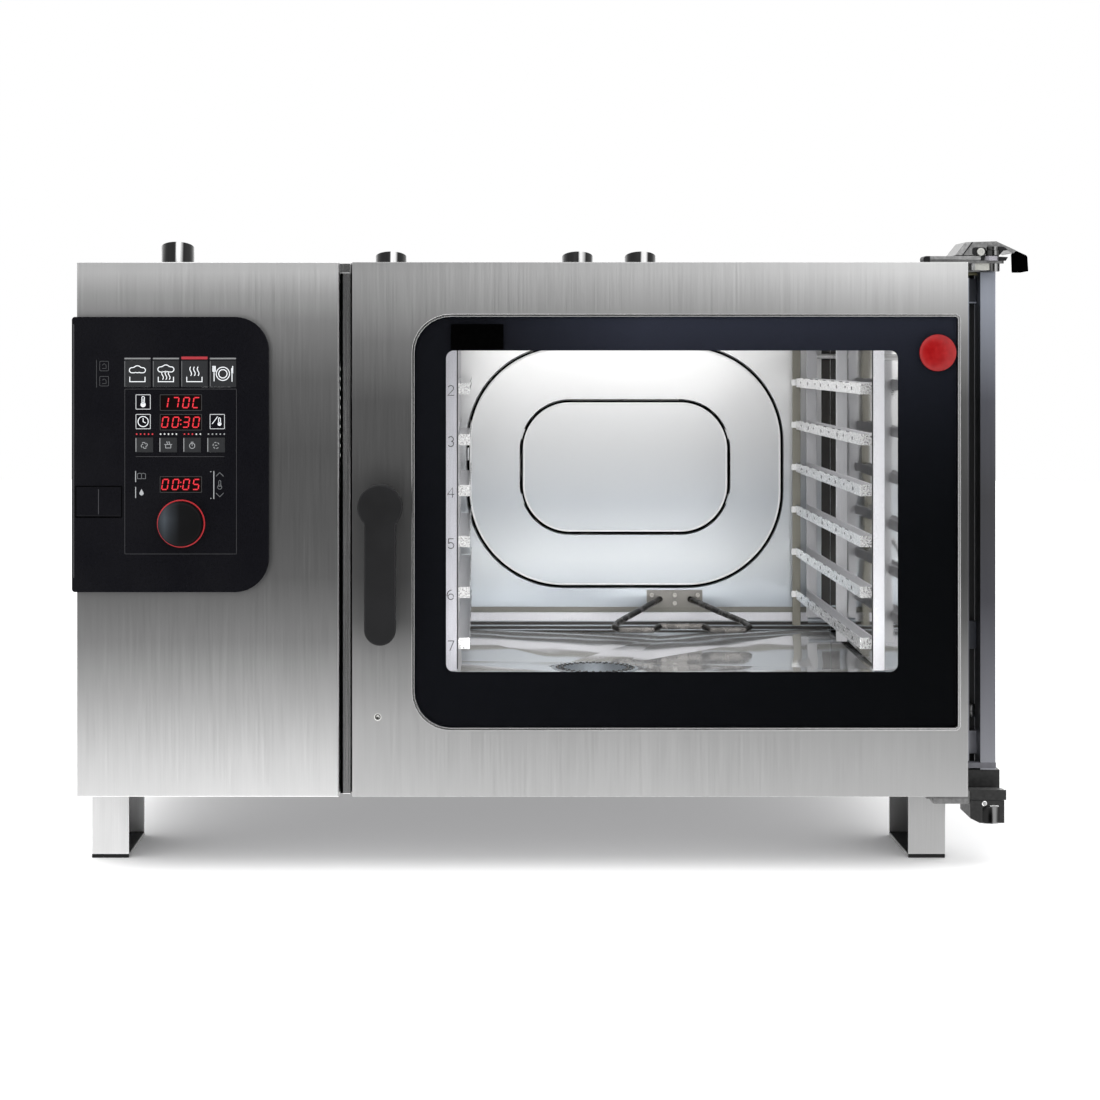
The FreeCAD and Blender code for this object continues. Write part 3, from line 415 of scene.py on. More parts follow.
@material
def red_enamel(shade):
    return speckled(shade, 120.0, (0.20, 0.003, 0.004), (0.26, 0.006, 0.007), (0.16, 0.26),
                    dent=(0.04, 0.001), Specular_IOR_Level=0.25)


@material
def pane(shade, tint):
    """Thin glass: sees straight through, with a Fresnel reflection and faint smears."""
    smear = shade.noise((6.0, 6.0, 14.0), detail=4.0)
    nodes, links = shade.nodes, shade.tree.links
    clear = nodes.new("ShaderNodeBsdfTransparent")
    clear.inputs["Color"].default_value = (tint, tint, tint, 1)
    gloss = nodes.new("ShaderNodeBsdfGlossy")
    links.new(shade.spread(smear, 0.01, 0.05, 0.3, 0.8), gloss.inputs["Roughness"])
    fresnel = nodes.new("ShaderNodeFresnel")
    fresnel.inputs["IOR"].default_value = 1.22
    both = nodes.new("ShaderNodeMixShader")
    links.new(shade.math("MULTIPLY", fresnel.outputs[0], 0.6), both.inputs[0])
    links.new(clear.outputs[0], both.inputs[1])
    links.new(gloss.outputs[0], both.inputs[2])
    links.new(both.outputs[0], nodes["Material Output"].inputs["Surface"])
    return shade


@material
def glass_print(shade):
    """Black screen print behind the door glass; a painted sky reflection makes it bluer and lighter
    at top right.
    """
    across = shade.within(0, "outer_glass")
    # sky is the painted reflection, strongest along the top edge.
    sky = shade.math("MULTIPLY", shade.math("POWER", shade.within(2, "outer_glass"), 5.0),
                     shade.ramp(across, ((0.0, 0.0), (0.12, 0.05), (0.42, 1.0), (1.0, 0.62))))
    dust = shade.noise(900.0)
    base = shade.ramp(across, ((0.0, (0.0060, 0.0064, 0.0082)), (1.0, (0.0026, 0.0029, 0.0034))))
    colour = shade.mix(sky, base, (0.027, 0.030, 0.044))
    tone = shade.spread(dust, 0.9, 1.1, 0.3, 0.7)
    shade.set(Base_Color=shade.mix(1.0, colour, tone, "MULTIPLY"), Roughness=0.5,
              Specular_IOR_Level=0.0)
    return shade


@material
def anodised(shade):
    """Satin aluminium of the column, with painted light at both ends."""
    colour = shade.ramp(shade.within(2, "slide_column"), (
        (0.0, (0.26, 0.265, 0.29)), (0.14, (0.18, 0.182, 0.203)), (0.34, (0.073, 0.073, 0.083)),
        (0.54, (0.064, 0.064, 0.069)), (0.74, (0.095, 0.097, 0.112)), (0.94, (0.31, 0.33, 0.38))))
    return brushed(shade, "z", colour, 0.42, 0.05)


@material
def cast_grey(shade, level):
    return speckled(shade, 240.0, level, level * 1.5, (0.34, 0.5), detail=4.0, dent=(0.15, 0.0006),
                    Metallic=0.6)


@material
def rubber(shade):
    return speckled(shade, 40.0, 0.012, 0.03, 0.7, detail=4.0, dent=(0.1, 0.001))


@material
def plain(shade, red, green, blue, rough):
    """Painted or moulded inner parts that are seldom seen."""
    cloud = shade.noise(80.0, detail=3.0)
    tone = shade.spread(cloud, 0.8, 1.15, 0.3, 0.7)
    shade.set(Base_Color=shade.mix(1.0, (red, green, blue), tone, "MULTIPLY"), Roughness=rough)
    shade.bump(cloud, 0.1, 0.001)
    return shade


@material
def void(shade):
    """Smoked cover that gives nothing back."""
    return speckled(shade, 200.0, 0.0004, 0.0008, 0.6, detail=2.0, Specular_IOR_Level=0.0)


@material
def paper(shade):
    """Seamless studio floor."""
    return speckled(shade, 0.5, 0.93, 0.96, 0.9, detail=2.0, Specular_IOR_Level=0.0)


@material
def streaked_steel(shade, low, high, centre):
    """Turned metal with a painted highlight: its tone depends on how far the surface faces right."""
    geometry = shade.nodes.new("ShaderNodeNewGeometry")
    side = shade.spread(shade.part(geometry.outputs["Normal"], 0), 0.0, 1.0, -1.0, 1.0)
    # low is painted shade, high the painted highlight round centre.
    tones = ((0.0, low), (centre * 0.55, low * 1.5), (centre - 0.06, low * 1.2), (centre, high),
             (centre + 0.09, high), (centre + 0.2, low * 1.4), (0.86, low * 1.8), (1.0, low))
    fine = shade.noise(GRAIN["z"], detail=3.0)
    colour = shade.mix(1.0, shade.ramp(side, tones), shade.spread(fine, 0.9, 1.1, 0.3, 0.7),
                       "MULTIPLY")
    shade.set(Base_Color=colour, Metallic=1.0, Roughness=0.24)
    return shade


@material
def wool(shade):
    fibre = shade.noise((120, 400, 400), detail=5.0, roughness=0.8)
    shade.set(Base_Color=shade.ramp(fibre, ((0.3, (0.36, 0.30, 0.16)), (0.7, (0.62, 0.55, 0.36)))),
              Roughness=0.9)
    shade.bump(fibre, 0.8, 0.003)
    return shade


# ------------------------------------------------------------------ geometry building blocks
def spot(x, y, z):
    """A place in the CAD frame, from millimetres off the datum."""
    return DATUM + Vector((x, y, z)) * MM


def edges(node):
    """Left, right, front, back, bottom and top of a CAD node, in millimetres from the datum."""
    low, high = ((corner - DATUM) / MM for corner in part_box(node))
    return low.x, high.x, low.y, high.y, low.z, high.z


def middle(node):
    """Centre of a CAD node seen from the front."""
    left, right, _, _, bottom, top = edges(node)
    return (left + right) / 2, (bottom + top) / 2


def arc(x, z, radius, start, end, steps=12):
    """Points along an arc; angles in degrees, counter-clockwise from the right."""
    turns = [math.radians(start + (end - start) * i / steps) for i in range(steps + 1)]
    return [(x + radius * math.cos(t), z + radius * math.sin(t)) for t in turns]


def circle(x, z, radius, steps=32):
    return arc(x, z, radius, 0, 360, steps)[:-1]


def rounded(left, right, bottom, top, *radii, steps=8):
    """Rounded rectangle; radii from bottom left counter-clockwise, or one for all."""
    radii = radii if len(radii) == 4 else radii * 4
    corners = ((left, bottom, 1, 1, 180), (right, bottom, -1, 1, 270), (right, top, -1, -1, 0),
               (left, top, 1, -1, 90))
    points = []
    for (x, z, inward, upward, start), radius in zip(corners, radii):
        radius = max(radius, 0.01)
        points += arc(x + inward * radius, z + upward * radius, radius, start, start + 90, steps)
    return points


def offset(points, distance, closed):
    """Points moved sideways by a distance, with mitred corners."""
    moved = []
    count = len(points)
    for i, (x, z) in enumerate(points):
        ways = []
        for a, b in ((i - 1, i), (i, i + 1)):
            if closed or (a >= 0 and b < count):
                (ax, az), (bx, bz) = points[a % count], points[b % count]
                length = math.hypot(bx - ax, bz - az) or 1.0
                ways.append(((bx - ax) / length, (bz - az) / length))
        dx = sum(w[0] for w in ways) / len(ways)
        dz = sum(w[1] for w in ways) / len(ways)
        scale = distance / max(dx * dx + dz * dz, 0.3)
        moved.append((x - dz * scale, z + dx * scale))
    return moved


class Piece:
    """Closed solids gathered into one mesh, in millimetres from the datum."""

    def __init__(self, name):
        self.name = name
        self.mesh = bmesh.new()

    def skin(self, rings, closed=False):
        """Join equally long rings of points into a solid; open ends are capped."""
        rows = [[self.mesh.verts.new(spot(*p)) for p in ring] for ring in rings]
        pairs = list(zip(rows, rows[1:])) + ([(rows[-1], rows[0])] if closed else [])
        for low, high in pairs:
            for i in range(len(low)):
                j = (i + 1) % len(low)
                self.mesh.faces.new((low[i], low[j], high[j], high[i]))
        if not closed:
            self.mesh.faces.new(rows[0][::-1])
            self.mesh.faces.new(rows[-1])
        return self

    def slab(self, outline, near, far, axis="y"):
        """An outline given a thickness from near to far along an axis."""
        order = {"x": lambda a, b, c: (c, a, b), "y": lambda a, b, c: (a, c, b),
                 "z": lambda a, b, c: (a, b, c)}[axis]
        return self.skin([[order(a, b, level) for a, b in outline] for level in (near, far)])

    def frame(self, outer, inner, near, far):
        """A flat frame between two outlines with equally many points."""
        return self.skin([[(x, near, z) for x, z in outer], [(x, far, z) for x, z in outer],
                          [(x, far, z) for x, z in inner], [(x, near, z) for x, z in inner]],
                         closed=True)

    def ribbon(self, points, width, near, far, closed=False):
        """A line of some width standing on a plane that faces the front."""
        left = offset(points, width / 2, closed)
        right = offset(points, -width / 2, closed)
        if closed:
            return self.frame(left, right, near, far)
        return self.slab(left + right[::-1], near, far)

    def block(self, x0, x1, y0, y1, z0, z1):
        return self.slab([(x0, z0), (x1, z0), (x1, z1), (x0, z1)], y0, y1)

    def lathe(self, profile, x, z, axis="y", steps=48, level=0.0):
        """A turned solid; the profile lists radius and place along the axis.

        For axis y the centre is (x, z); for axis x it is (y, z); for axis z it is (x, y)."""
        rings = []
        for radius, along in profile:
            along += level
            rings.append([{"x": (along, a, b), "y": (a, along, b), "z": (a, b, along)}[axis]
                          for a, b in circle(x, z, max(radius, 0.02), steps)])
        return self.skin(rings)

    def finish(self, look, body, slot=None, bevel=0.0, segments=2, smooth=40.0):
        """Make the object: smooth shading with sharp edges kept, a bevel, a material and a body."""
        bmesh.ops.recalc_face_normals(self.mesh, faces=self.mesh.faces)
        for face in self.mesh.faces:
            face.smooth = True
        for edge in self.mesh.edges:
            edge.smooth = edge.calc_face_angle(0.0) < math.radians(smooth)
        data = bpy.data.meshes.new(self.name)
        self.mesh.to_mesh(data)
        self.mesh.free()
        data.materials.append(look)
        item = bpy.data.objects.new(self.name, data)
        bpy.context.scene.collection.objects.link(item)
        if bevel:
            soften(item, bevel, segments)
        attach(item, body)
        return item


def soften(item, width, segments=2, limit=35.0, flat=False):
    """Round an object's edges with a bevel, and keep its flat faces flat."""
    weld = item.modifiers.new("weld", "WELD")
    weld.merge_threshold = 0.00002
    if flat:
        merge = item.modifiers.new("flat", "DECIMATE")
        merge.decimate_type = "DISSOLVE"
        merge.angle_limit = math.radians(0.5)
    bevel = item.modifiers.new("soften", "BEVEL")
    bevel.width = width * MM
    bevel.segments = segments
    bevel.limit_method = "ANGLE"
    bevel.angle_limit = math.radians(limit)
    bevel.harden_normals = True
    bevel.miter_outer = "MITER_ARC"


def paint(look, *names):
    """Give CAD nodes a material in place of their plain one."""
    for name in names:
        slots = NODES[name].data.materials
        slots.clear()
        slots.append(look)


# ------------------------------------------------------------------ looks of the CAD nodes
def dress_nodes():
    for name in ("control_fascia", "door_shell"):
        paint(front_steel(name), name)
    paint(casing_steel("y"), "left_side_panel", "right_side_panel", "top_cover")
    paint(casing_steel("x"), "back_panel", "base_frame", "front_frame")
    paint(leg_steel(), "legs")
    paint(bright_steel(), "column_strip")
    paint(cavity_steel(), "cavity_liner")
    paint(wall_steel(), "fan_baffle", "cover_plate", "rack_studs", "drain_sieve")
    paint(satin(0.26, 0.25, 0.23), "hook_plate")
    paint(satin(0.66, 0.66, 0.68), "rack_left", "rack_right")
    paint(dark_wire(), "wire_hook")
    paint(streaked_steel(0.012, 0.55, 0.53), "control_vent_pipe", "rear_vent_pipes")
    paint(turned_steel(), "injector_pipe", "heater_coil", "fan_wheel", "fan_shaft",
          "latch_spindle")
    paint(plain(0.11, 0.10, 0.09, 0.5), "drain_pipe", "cable_gland")
    paint(cast_grey(0.115), "door_hinge_plates", "top_hinge_arm")
    paint(cast_grey(0.020), "bottom_hinge_block")
    paint(anodised(), "slide_column", "slide_rails")
    paint(matte_black(0.003), "foot_pads", "dial_bush")
    paint(gloss_black(), "control_bezel", "dial_knob", "service_flap")
    paint(glow(0.40, 0.010, 0.016, 0.26), "dial_ring")
    paint(key_face(), *["mode_key_%d" % n for n in range(1, 5)],
          *["function_key_%d" % n for n in range(1, 5)])
    paint(window_red(), "display_modules")
    paint(red_enamel(), "round_badge")
    paint(pane(0.98), "outer_glass", "inner_glass")
    paint(matte_black(0.0042), "door_handle")
    paint(rubber(), "mouth_gasket")
    paint(void(), "window_spacer", "guide_block")
    paint(glow(0.8, 0.79, 0.77, 0.3), "light_strips")
    paint(plain(0.18, 0.22, 0.30, 0.5), "fan_motor")
    paint(plain(0.06, 0.13, 0.28, 0.5), "water_valves")
    paint(plain(0.03, 0.16, 0.07, 0.6), "power_board")
    paint(wool(), "insulation")
    for name, width in (("control_fascia", 1.5), ("door_shell", 1.5), ("left_side_panel", 0.4),
                        ("right_side_panel", 0.4), ("top_cover", 0.4), ("base_frame", 0.8),
                        ("column_strip", 0.8), ("control_bezel", 2.2), ("legs", 0.5),
                        ("foot_pads", 1.0), ("service_flap", 0.5), ("door_handle", 4.0),
                        ("guide_block", 1.0), ("top_hinge_arm", 2.0), ("bottom_hinge_block", 1.2),
                        ("slide_column", 0.8), ("hook_plate", 0.5), ("rack_left", 0.4),
                        ("rack_right", 0.4), ("control_vent_pipe", 0.4), ("rear_vent_pipes", 0.4)):
        soften(NODES[name], width, 3 if width > 1.2 else 2, flat=name != "control_bezel")


dress_nodes()


# ------------------------------------------------------------------ door
WINDOW = rounded(-96.2, 472.8, 252.2, 656.8, 10)


def door_details():
    """Trim and print of the glass, badge, fittings of the strip beside the door, lock dimple."""
    left, right, _, back, bottom, top = edges("outer_glass")
    trim = Piece("glass_trim")
    trim.frame(rounded(left - 3.2, right + 3.2, bottom - 3.2, top + 3.2, 49, 7, 7, 49),
               rounded(left, right, bottom, top, 46, 4, 4, 46), -0.8, 0.6)
    trim.finish(bright_steel(), "door", "stainless_panel", bevel=0.3)
    printed = Piece("glass_print")
    printed.frame(rounded(left + 0.5, right - 0.5, bottom + 0.5, top - 0.5, 45.5, 3.5, 3.5, 45.5),
                  WINDOW, back - 0.45, back - 0.05)
    printed.finish(glass_print(), "door", "black_glass")
    mirror = Piece("sensor_window")
    mirror.slab(rounded(-90, -24, 658, 690, 1), -0.12, -0.02)
    mirror.finish(void(), "door", "black_glass")

    x, z = middle("round_badge")
    radius = edges("round_badge")[1] - x + 2.2
    dome = Piece("badge_dome")
    swell = [(radius, -0.05), (radius, -1.2)]
    swell += [(radius * math.cos(math.radians(a)), -1.2 - 3.4 * math.sin(math.radians(a)))
              for a in range(10, 90, 8)]
    dome.lathe(swell + [(0.02, -4.6)], x, z, steps=64)
    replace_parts(dome.finish(red_enamel(), "door", "red_enamel"), "round_badge")

    fascia = edges("control_fascia")
    cap = Piece("strip_cap")
    cap.block(-230.4, -217, 10.6, 13, 754.6, 767)
    cap.finish(bright_steel(), "casing", "stainless_panel", bevel=0.4)
    # Black lines on both sides of the strip are painted shadow, at the casing's side and at the
    # door's left edge.
    slot = Piece("strip_shade_lines")
    slot.block(-229.6, -226.4, 11.4, 12.3, 98, 754)
    slot.block(-216.9, -216.1, 11.4, 12.3, 98, 754)
    slot.finish(void(), "casing", "black_plastic")
    hem = Piece("fascia_hem")
    hem.block(fascia[1] - 1.1, fascia[1] - 0.1, -0.35, 0.6, fascia[4] + 1, fascia[5] - 1)
    hem.finish(bright_steel(), "casing", "stainless_panel", bevel=0.15)

    dimple = Piece("door_dimple")
    dimple.lathe([(4.5, 0.05), (4.5, -0.25), (3.8, -0.6), (2.2, -0.3), (0.02, -0.12)], -182, 196)
    dimple.finish(turned_steel(), "door", "stainless_panel")


door_details()


# ------------------------------------------------------------------ control panel
BEZEL = edges("control_bezel")[2]
WHITE = (0.62, 0.64, 0.66, 0.25)
RED = (0.42, 0.004, 0.012, 0.40)


def mark(name, strokes, face, width, tone, body="casing", closed=()):
    """Fine lines standing a hair above a face that looks forward."""
    piece = Piece(name)
    for number, points in enumerate(strokes):
        piece.ribbon(points, width, face - 0.12, face + 0.08, closed=number in closed)
    return piece.finish(glow(*tone), body, "key_plastic")


def placed(strokes, x, z, size):
    return [[(x + size * a, z + size * b) for a, b in points] for points in strokes]


def wave(x, bottom, top):
    """A rising wisp of steam."""
    return [(x + 0.10 * math.sin(math.pi * 2 * i / 10), bottom + (top - bottom) * i / 10)
            for i in range(11)]


def cloud(low, tall):
    """Outline of a wide puffy cloud that rests on a level."""
    middle = low + tall / 2
    return ([(0.4 - 0.2 * i, low + 0.05 * (i % 2)) for i in range(5)]
            + arc(-0.66, middle, tall / 2, 265, 80, 8) + arc(0.0, middle + 0.02, 0.52, 140, 40, 10)
            + arc(0.66, middle, tall / 2, 100, -85, 8))


PAN = [(-0.92, -0.36), (-0.92, -0.95), (0.92, -0.95), (0.92, -0.36)]
FORK = [[(-1.06, -0.9), (-1.06, 0.2)], [(-1.2, 0.95), (-1.2, 0.3), (-0.92, 0.3), (-0.92, 0.95)],
        [(-1.06, 0.95), (-1.06, 0.3)]]
KNIFE = [[(1.1, -0.95), (1.1, 0.2)], [(1.18, 0.95), (1.18, 0.1), (1.06, 0.1), (1.06, 0.7)]]
MODE_ICONS = (
    [PAN, cloud(0.12, 0.62)],
    [PAN, cloud(0.22, 0.62), wave(-0.4, -0.7, 0.3), wave(0.0, -0.7, 0.35), wave(0.4, -0.7, 0.3)],
    [PAN, wave(-0.45, -0.25, 0.85), wave(0.0, -0.25, 0.85), wave(0.45, -0.25, 0.85)],
    FORK + KNIFE + [circle(0, 0, 0.80, 32), circle(0, 0, 0.52, 10)])
RINGS = {1: (1,), 2: (1,), 4: (5, 6)}  # closed strokes of each mode icon
FAN = [arc(0.35 * math.cos(t), 0.35 * math.sin(t), 0.38, math.degrees(t) - 120, math.degrees(t) + 40)
       for t in (0.4, 1.97, 3.54, 5.11)]
POT = [[(-0.6, 0.2), (-0.6, -0.6), (0.6, -0.6), (0.6, 0.2)], [(-0.9, 0.2), (0.9, 0.2)],
       wave(-0.25, 0.35, 0.9), wave(0.25, 0.35, 0.9)]
TIMER = [circle(0, -0.1, 0.62, 20), [(0, -0.1), (0, 0.28)], [(-0.3, 0.75), (0.3, 0.75)]]
SWIRL = [arc(0, 0, 0.7, a, a + 40, 5) for a in range(20, 340, 64)] + [[(-0.25, 0), (0.25, 0)]]
FUNCTION_ICONS = (FAN, POT, TIMER, SWIRL)


def key_icons():
    """Icons and bars of the mode keys, icons and lamps of the function keys, painted highlights on
    key edges.
    """
    for number, strokes in enumerate(MODE_ICONS, 1):
        key, body = "mode_key_%d" % number, "mode_%d" % number
        x0, x1, face, _, z0, z1 = edges(key)
        mark("mode_icon_%d" % number, placed(strokes, *middle(key), 10.4), face, 1.05, WHITE, body,
             closed=RINGS.get(number, ()))
        # A light line on the key's left edge: a painted highlight.
        mark("mode_edge_%d" % number, [[(x0 + 0.8, z0 + 0.6), (x0 + 0.8, z1 - 0.6)]], face, 0.8,
             (0.09, 0.093, 0.097, 0.03), body)
        lit = number == 3
        bar = Piece("mode_bar_%d" % number)
        bar.slab(rounded(x0 + 0.2, x1 - 0.2, z1 + 1.5, z1 + (5.0 if lit else 3.5), 0.5, steps=2),
                 BEZEL - 0.25, BEZEL + 0.2)
        tone = (0.26, 0.004, 0.012, 0.22) if lit else (0.15, 0.153, 0.157, 0.05)
        bar.finish(glow(*tone), "casing", "key_plastic", bevel=0.1)
    for number, strokes in enumerate(FUNCTION_ICONS, 1):
        key, body = "function_key_%d" % number, "function_%d" % number
        x0, x1, face, _, z0, z1 = edges(key)
        x, z = middle(key)
        mark("function_icon_%d" % number, placed(strokes, x, z - 0.5, 5.4), face, 0.7,
             (0.30, 0.31, 0.32, 0.1), body, closed=(0,) if number == 3 else ())
        # A light line on the key's left edge: a painted highlight.
        mark("function_edge_%d" % number, [[(x0 + 0.6, z0 + 0.8), (x0 + 0.6, z1 - 0.6)]], face, 1.0,
             (0.22, 0.225, 0.23, 0.08), body)
    lamps = {kind: Piece(kind + "_lamps") for kind in ("red", "white", "dim")}
    for number, lit in enumerate((5, 0, 3, 0), 1):
        key = "function_key_%d" % number
        for place in range(5):
            x = middle(key)[0] + 0.3 + (place - 2) * 4.95
            kind = "red" if place < lit else "dim" if number == 4 else "white"
            lamps[kind].lathe([(1.0, 0.2), (1.0, -0.3), (0.6, -0.5), (0.02, -0.6)], x,
                              edges(key)[5] + 4.4, steps=12, level=BEZEL)
    for kind, tone in (("red", RED), ("white", (0.50, 0.51, 0.51, 0.28)),
                       ("dim", (0.24, 0.245, 0.25, 0.1))):
        lamps[kind].finish(glow(*tone), "casing", "red_ring" if kind == "red" else "key_plastic")


key_icons()

SEGMENTS = {  # ends of each bar of a digit, in half widths and half heights
    "a": ((-1, 1), (1, 1)), "b": ((1, 1), (1, 0)), "c": ((1, 0), (1, -1)), "d": ((-1, -1), (1, -1)),
    "e": ((-1, 0), (-1, -1)), "f": ((-1, 1), (-1, 0)), "g": ((-1, 0), (1, 0))}
DIGITS = {"0": "abcdef", "1": "bc", "3": "abcdg", "5": "acdfg", "7": "abc", "C": "adef"}


def digit(piece, char, x, z, face, wide=3.5, tall=6.3):
    """Seven-bar digit, leaning a little to the right."""
    for bar in DIGITS[char]:
        (ax, az), (bx, bz) = SEGMENTS[bar]
        length = math.hypot((bx - ax) * wide, (bz - az) * tall)
        shrink = 0.6 / length
        ends = [(ax + (bx - ax) * shrink, az + (bz - az) * shrink),
                (bx + (ax - bx) * shrink, bz + (az - bz) * shrink)]
        piece.ribbon([(x + a * wide + b * tall * 0.16, z + b * tall) for a, b in ends], 1.45,
                     face - 0.12, face + 0.05)


def displays():
    """Lit text and frame of each display window."""
    left, right, face = edges("display_modules")[:3]
    centre = (left + right) / 2
    for number, (height, text) in enumerate(((591.6, "170C"), (567, "00:30"), (489, "00:05")), 1):
        piece = Piece("display_text_%d" % number)
        for char, place in zip(text.replace(":", ""), (-19.8, -6.8, 6.5, 19.0)):
            digit(piece, char, centre + place, height, face)
        if ":" in text:
            for dot in (-2.6, 2.6):
                piece.slab(rounded(centre - 1.0, centre + 0.6, height + dot - 0.8,
                                   height + dot + 0.8, 0.3, steps=2), face - 0.12, face + 0.05)
        piece.finish(glow(0.50, 0.004, 0.014, 0.62), "casing", "red_ring")
        edge = Piece("display_frame_%d" % number)
        edge.frame(rounded(left - 0.6, right + 0.6, height - 10.2, height + 10.2, 0.8, steps=2),
                   rounded(left + 0.2, right - 0.2, height - 9.4, height + 9.4, 0.4, steps=2),
                   BEZEL - 0.2, BEZEL + 0.2)
        edge.finish(plain(0.012, 0.012, 0.012, 0.5), "casing", "black_plastic")


displays()


HEAT, CLOCK, PROBE = (-475.6, 592.4), (-475.6, 567.8), (-382.7, 567.8)


def panel_marks():
    """Printed lines and small symbols on the bezel, and painted highlights on edges."""
    box = lambda x, z: rounded(x - 9.0, x + 9.0, z - 9.0, z + 9.0, 0.6, steps=2)
    mark("symbol_boxes", [box(*HEAT), box(*CLOCK), box(*PROBE)], BEZEL, 0.8,
         (0.42, 0.43, 0.44, 0.16), closed=(0, 1, 2))
    bulb = [rounded(-0.2, 0.2, -0.3, 0.85, 0.19), circle(0, -0.42, 0.4, 20)]
    stem = [(0, 0.55), (0, -0.3)]
    clock = [circle(0, 0, 0.8, 24), [(0, 0.52), (0, -0.02), (0.4, -0.2)]]
    needle = [[(-0.8, -0.35), (-0.25, 0.35), (0.05, 0.8)]]
    slim = [[(x * 0.75 + 0.35, z * 0.75 - 0.05) for x, z in part] for part in bulb]
    mark("symbol_heat", placed([bulb[0], stem], *HEAT, 8), BEZEL, 0.8, WHITE, closed=(0,))
    mark("symbol_clock", placed(clock, *CLOCK, 8), BEZEL, 1.0, WHITE, closed=(0,))
    mark("symbol_probe", placed(needle + [slim[0]], *PROBE, 8), BEZEL, 0.9, WHITE, closed=(1,))
    bulbs = Piece("symbol_bulbs")
    for shape, centre in ((bulb[1], HEAT), (slim[1], PROBE)):
        bulbs.slab(placed([shape], *centre, 8)[0], BEZEL - 0.12, BEZEL + 0.08)
    bulbs.finish(glow(*WHITE), "casing", "key_plastic")
    mark("panel_outline", [rounded(-498.6, -358.7, 401.9, 608.6, 1, steps=2)], BEZEL, 0.5,
         (0.026, 0.026, 0.029, 0.01), closed=(0,))
    mark("panel_divider", [[(-485, 523.9), (-374, 523.9)]], BEZEL, 0.5,
         (0.026, 0.026, 0.029, 0.01))
    book = [[(0, -0.5), (0, 0.6)], [(-0.9, 0.6), (-0.9, -0.5), (0, -0.5), (0.9, -0.5), (0.9, 0.6)],
            [(-0.9, 0.6), (-0.4, 0.75), (0, 0.6), (0.4, 0.75), (0.9, 0.6)]]
    drop = [[(0, 0.85), (-0.45, 0.0)] + arc(0, -0.2, 0.5, 160, 380, 10) + [(0.45, 0.0)]]
    mark("symbol_book", placed(book, -477.6, 499, 5.6), BEZEL, 0.7, (0.10, 0.105, 0.11, 0.04))
    tear = Piece("symbol_drop")
    tear.slab(placed(drop, -477.6, 478.9, 5.2)[0], BEZEL - 0.12, BEZEL + 0.08)
    tear.finish(glow(0.30, 0.31, 0.32, 0.1), "casing", "key_plastic")
    # Grey lines at the left of the small keys: painted highlights on their edges.
    mark("symbol_edge_highlights", [[(-485, 492), (-485, 506)], [(-485, 472), (-485, 486)],
                          [(-387, 470.8), (-387, 505.9)], [(-391.4, 505), (-390.2, 505)],
                          [(-391.4, 471.6), (-390.2, 471.6)]], BEZEL, 1.0,
         (0.30, 0.31, 0.32, 0.12))
    up = [[(-0.6, -0.3), (0, 0.3), (0.6, -0.3)]]
    down = [[(-0.6, 0.3), (0, -0.3), (0.6, 0.3)]]
    mark("symbol_arrows", placed(up, -379.6, 501.5, 8) + placed(down, -379.6, 476, 8)
         + placed(bulb, -379.6, 488.4, 6.5), BEZEL, 0.7, (0.10, 0.105, 0.11, 0.03), closed=(2, 3))
    group = [[(-534, 610.5), (-534, 645)]]
    for height in (637.4, 618.4):
        group += [rounded(-530, -519, height - 6, height + 6, 1, steps=2)]
        group += placed([[(-0.5, 0.2), (0, 0.6), (0.5, 0.2), (0.5, -0.6), (-0.5, -0.6)]], -524.5,
                        height, 5)
    mark("symbol_service", group, BEZEL, 0.5, (0.040, 0.041, 0.044, 0.02), closed=(1, 3))
    # A grey line on the bezel's left edge: a painted highlight on its chamfer.
    mark("panel_edge_highlight", [[(-562.6, 372), (-562.6, 690)]], BEZEL, 0.8,
         (0.05, 0.05, 0.055, 0.02))
    flap = edges("service_flap")
    rim = Piece("flap_rim")
    rim.frame(rounded(flap[0] + 1, flap[1] + 1.2, flap[4] - 1.2, flap[5] + 1.2, 1.5, steps=3),
              rounded(flap[0] + 2, flap[1] + 0.2, flap[4] - 0.2, flap[5] + 0.2, 0.8, steps=3),
              BEZEL - 0.5, BEZEL + 0.2)
    rim.finish(void(), "casing", "black_plastic", bevel=0.2)
    mark("flap_line", [[(-531.6, flap[4] + 3), (-531.6, flap[5] - 3)]], flap[2], 0.6,
         (0.04, 0.04, 0.045, 0.02), "flap")


panel_marks()


def dial():
    """Cap of the knob with a thumb dent."""
    x0, x1, y0, y1 = edges("dial_knob")[:4]
    x, z = middle("dial_knob")
    radius = (x1 - x0) / 2
    knob = Piece("dial_cap")
    profile = [(radius - 3.5, y1), (radius, y1 - 1.5), (radius, y0 + 6)]
    profile += [(radius - 4 + 4 * math.cos(turn), y0 + 6 - 4.5 * math.sin(turn))
                for turn in map(math.radians, range(15, 91, 15))]
    profile += [(radius - 8, y0 + 0.8), (radius * 0.5, y0 + 0.25), (0.02, y0)]
    knob.lathe(profile, x, z, steps=96)
    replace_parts(knob.finish(knob_black(), "dial", "gloss_black", smooth=50), "dial_knob")
    dent = Piece("dial_dent")
    dent.lathe([(5.0, 0.3), (5.0, -0.10), (4.2, -0.25), (3.0, -0.12), (0.02, -0.02)], x, z + 15,
               level=y0 + 0.7, steps=32)
    dent.finish(knob_black(), "dial", "gloss_black")


dial()


# ------------------------------------------------------------------ cavity
PITCH = 68
LEVELS = [682 - PITCH * level for level in range(7)]


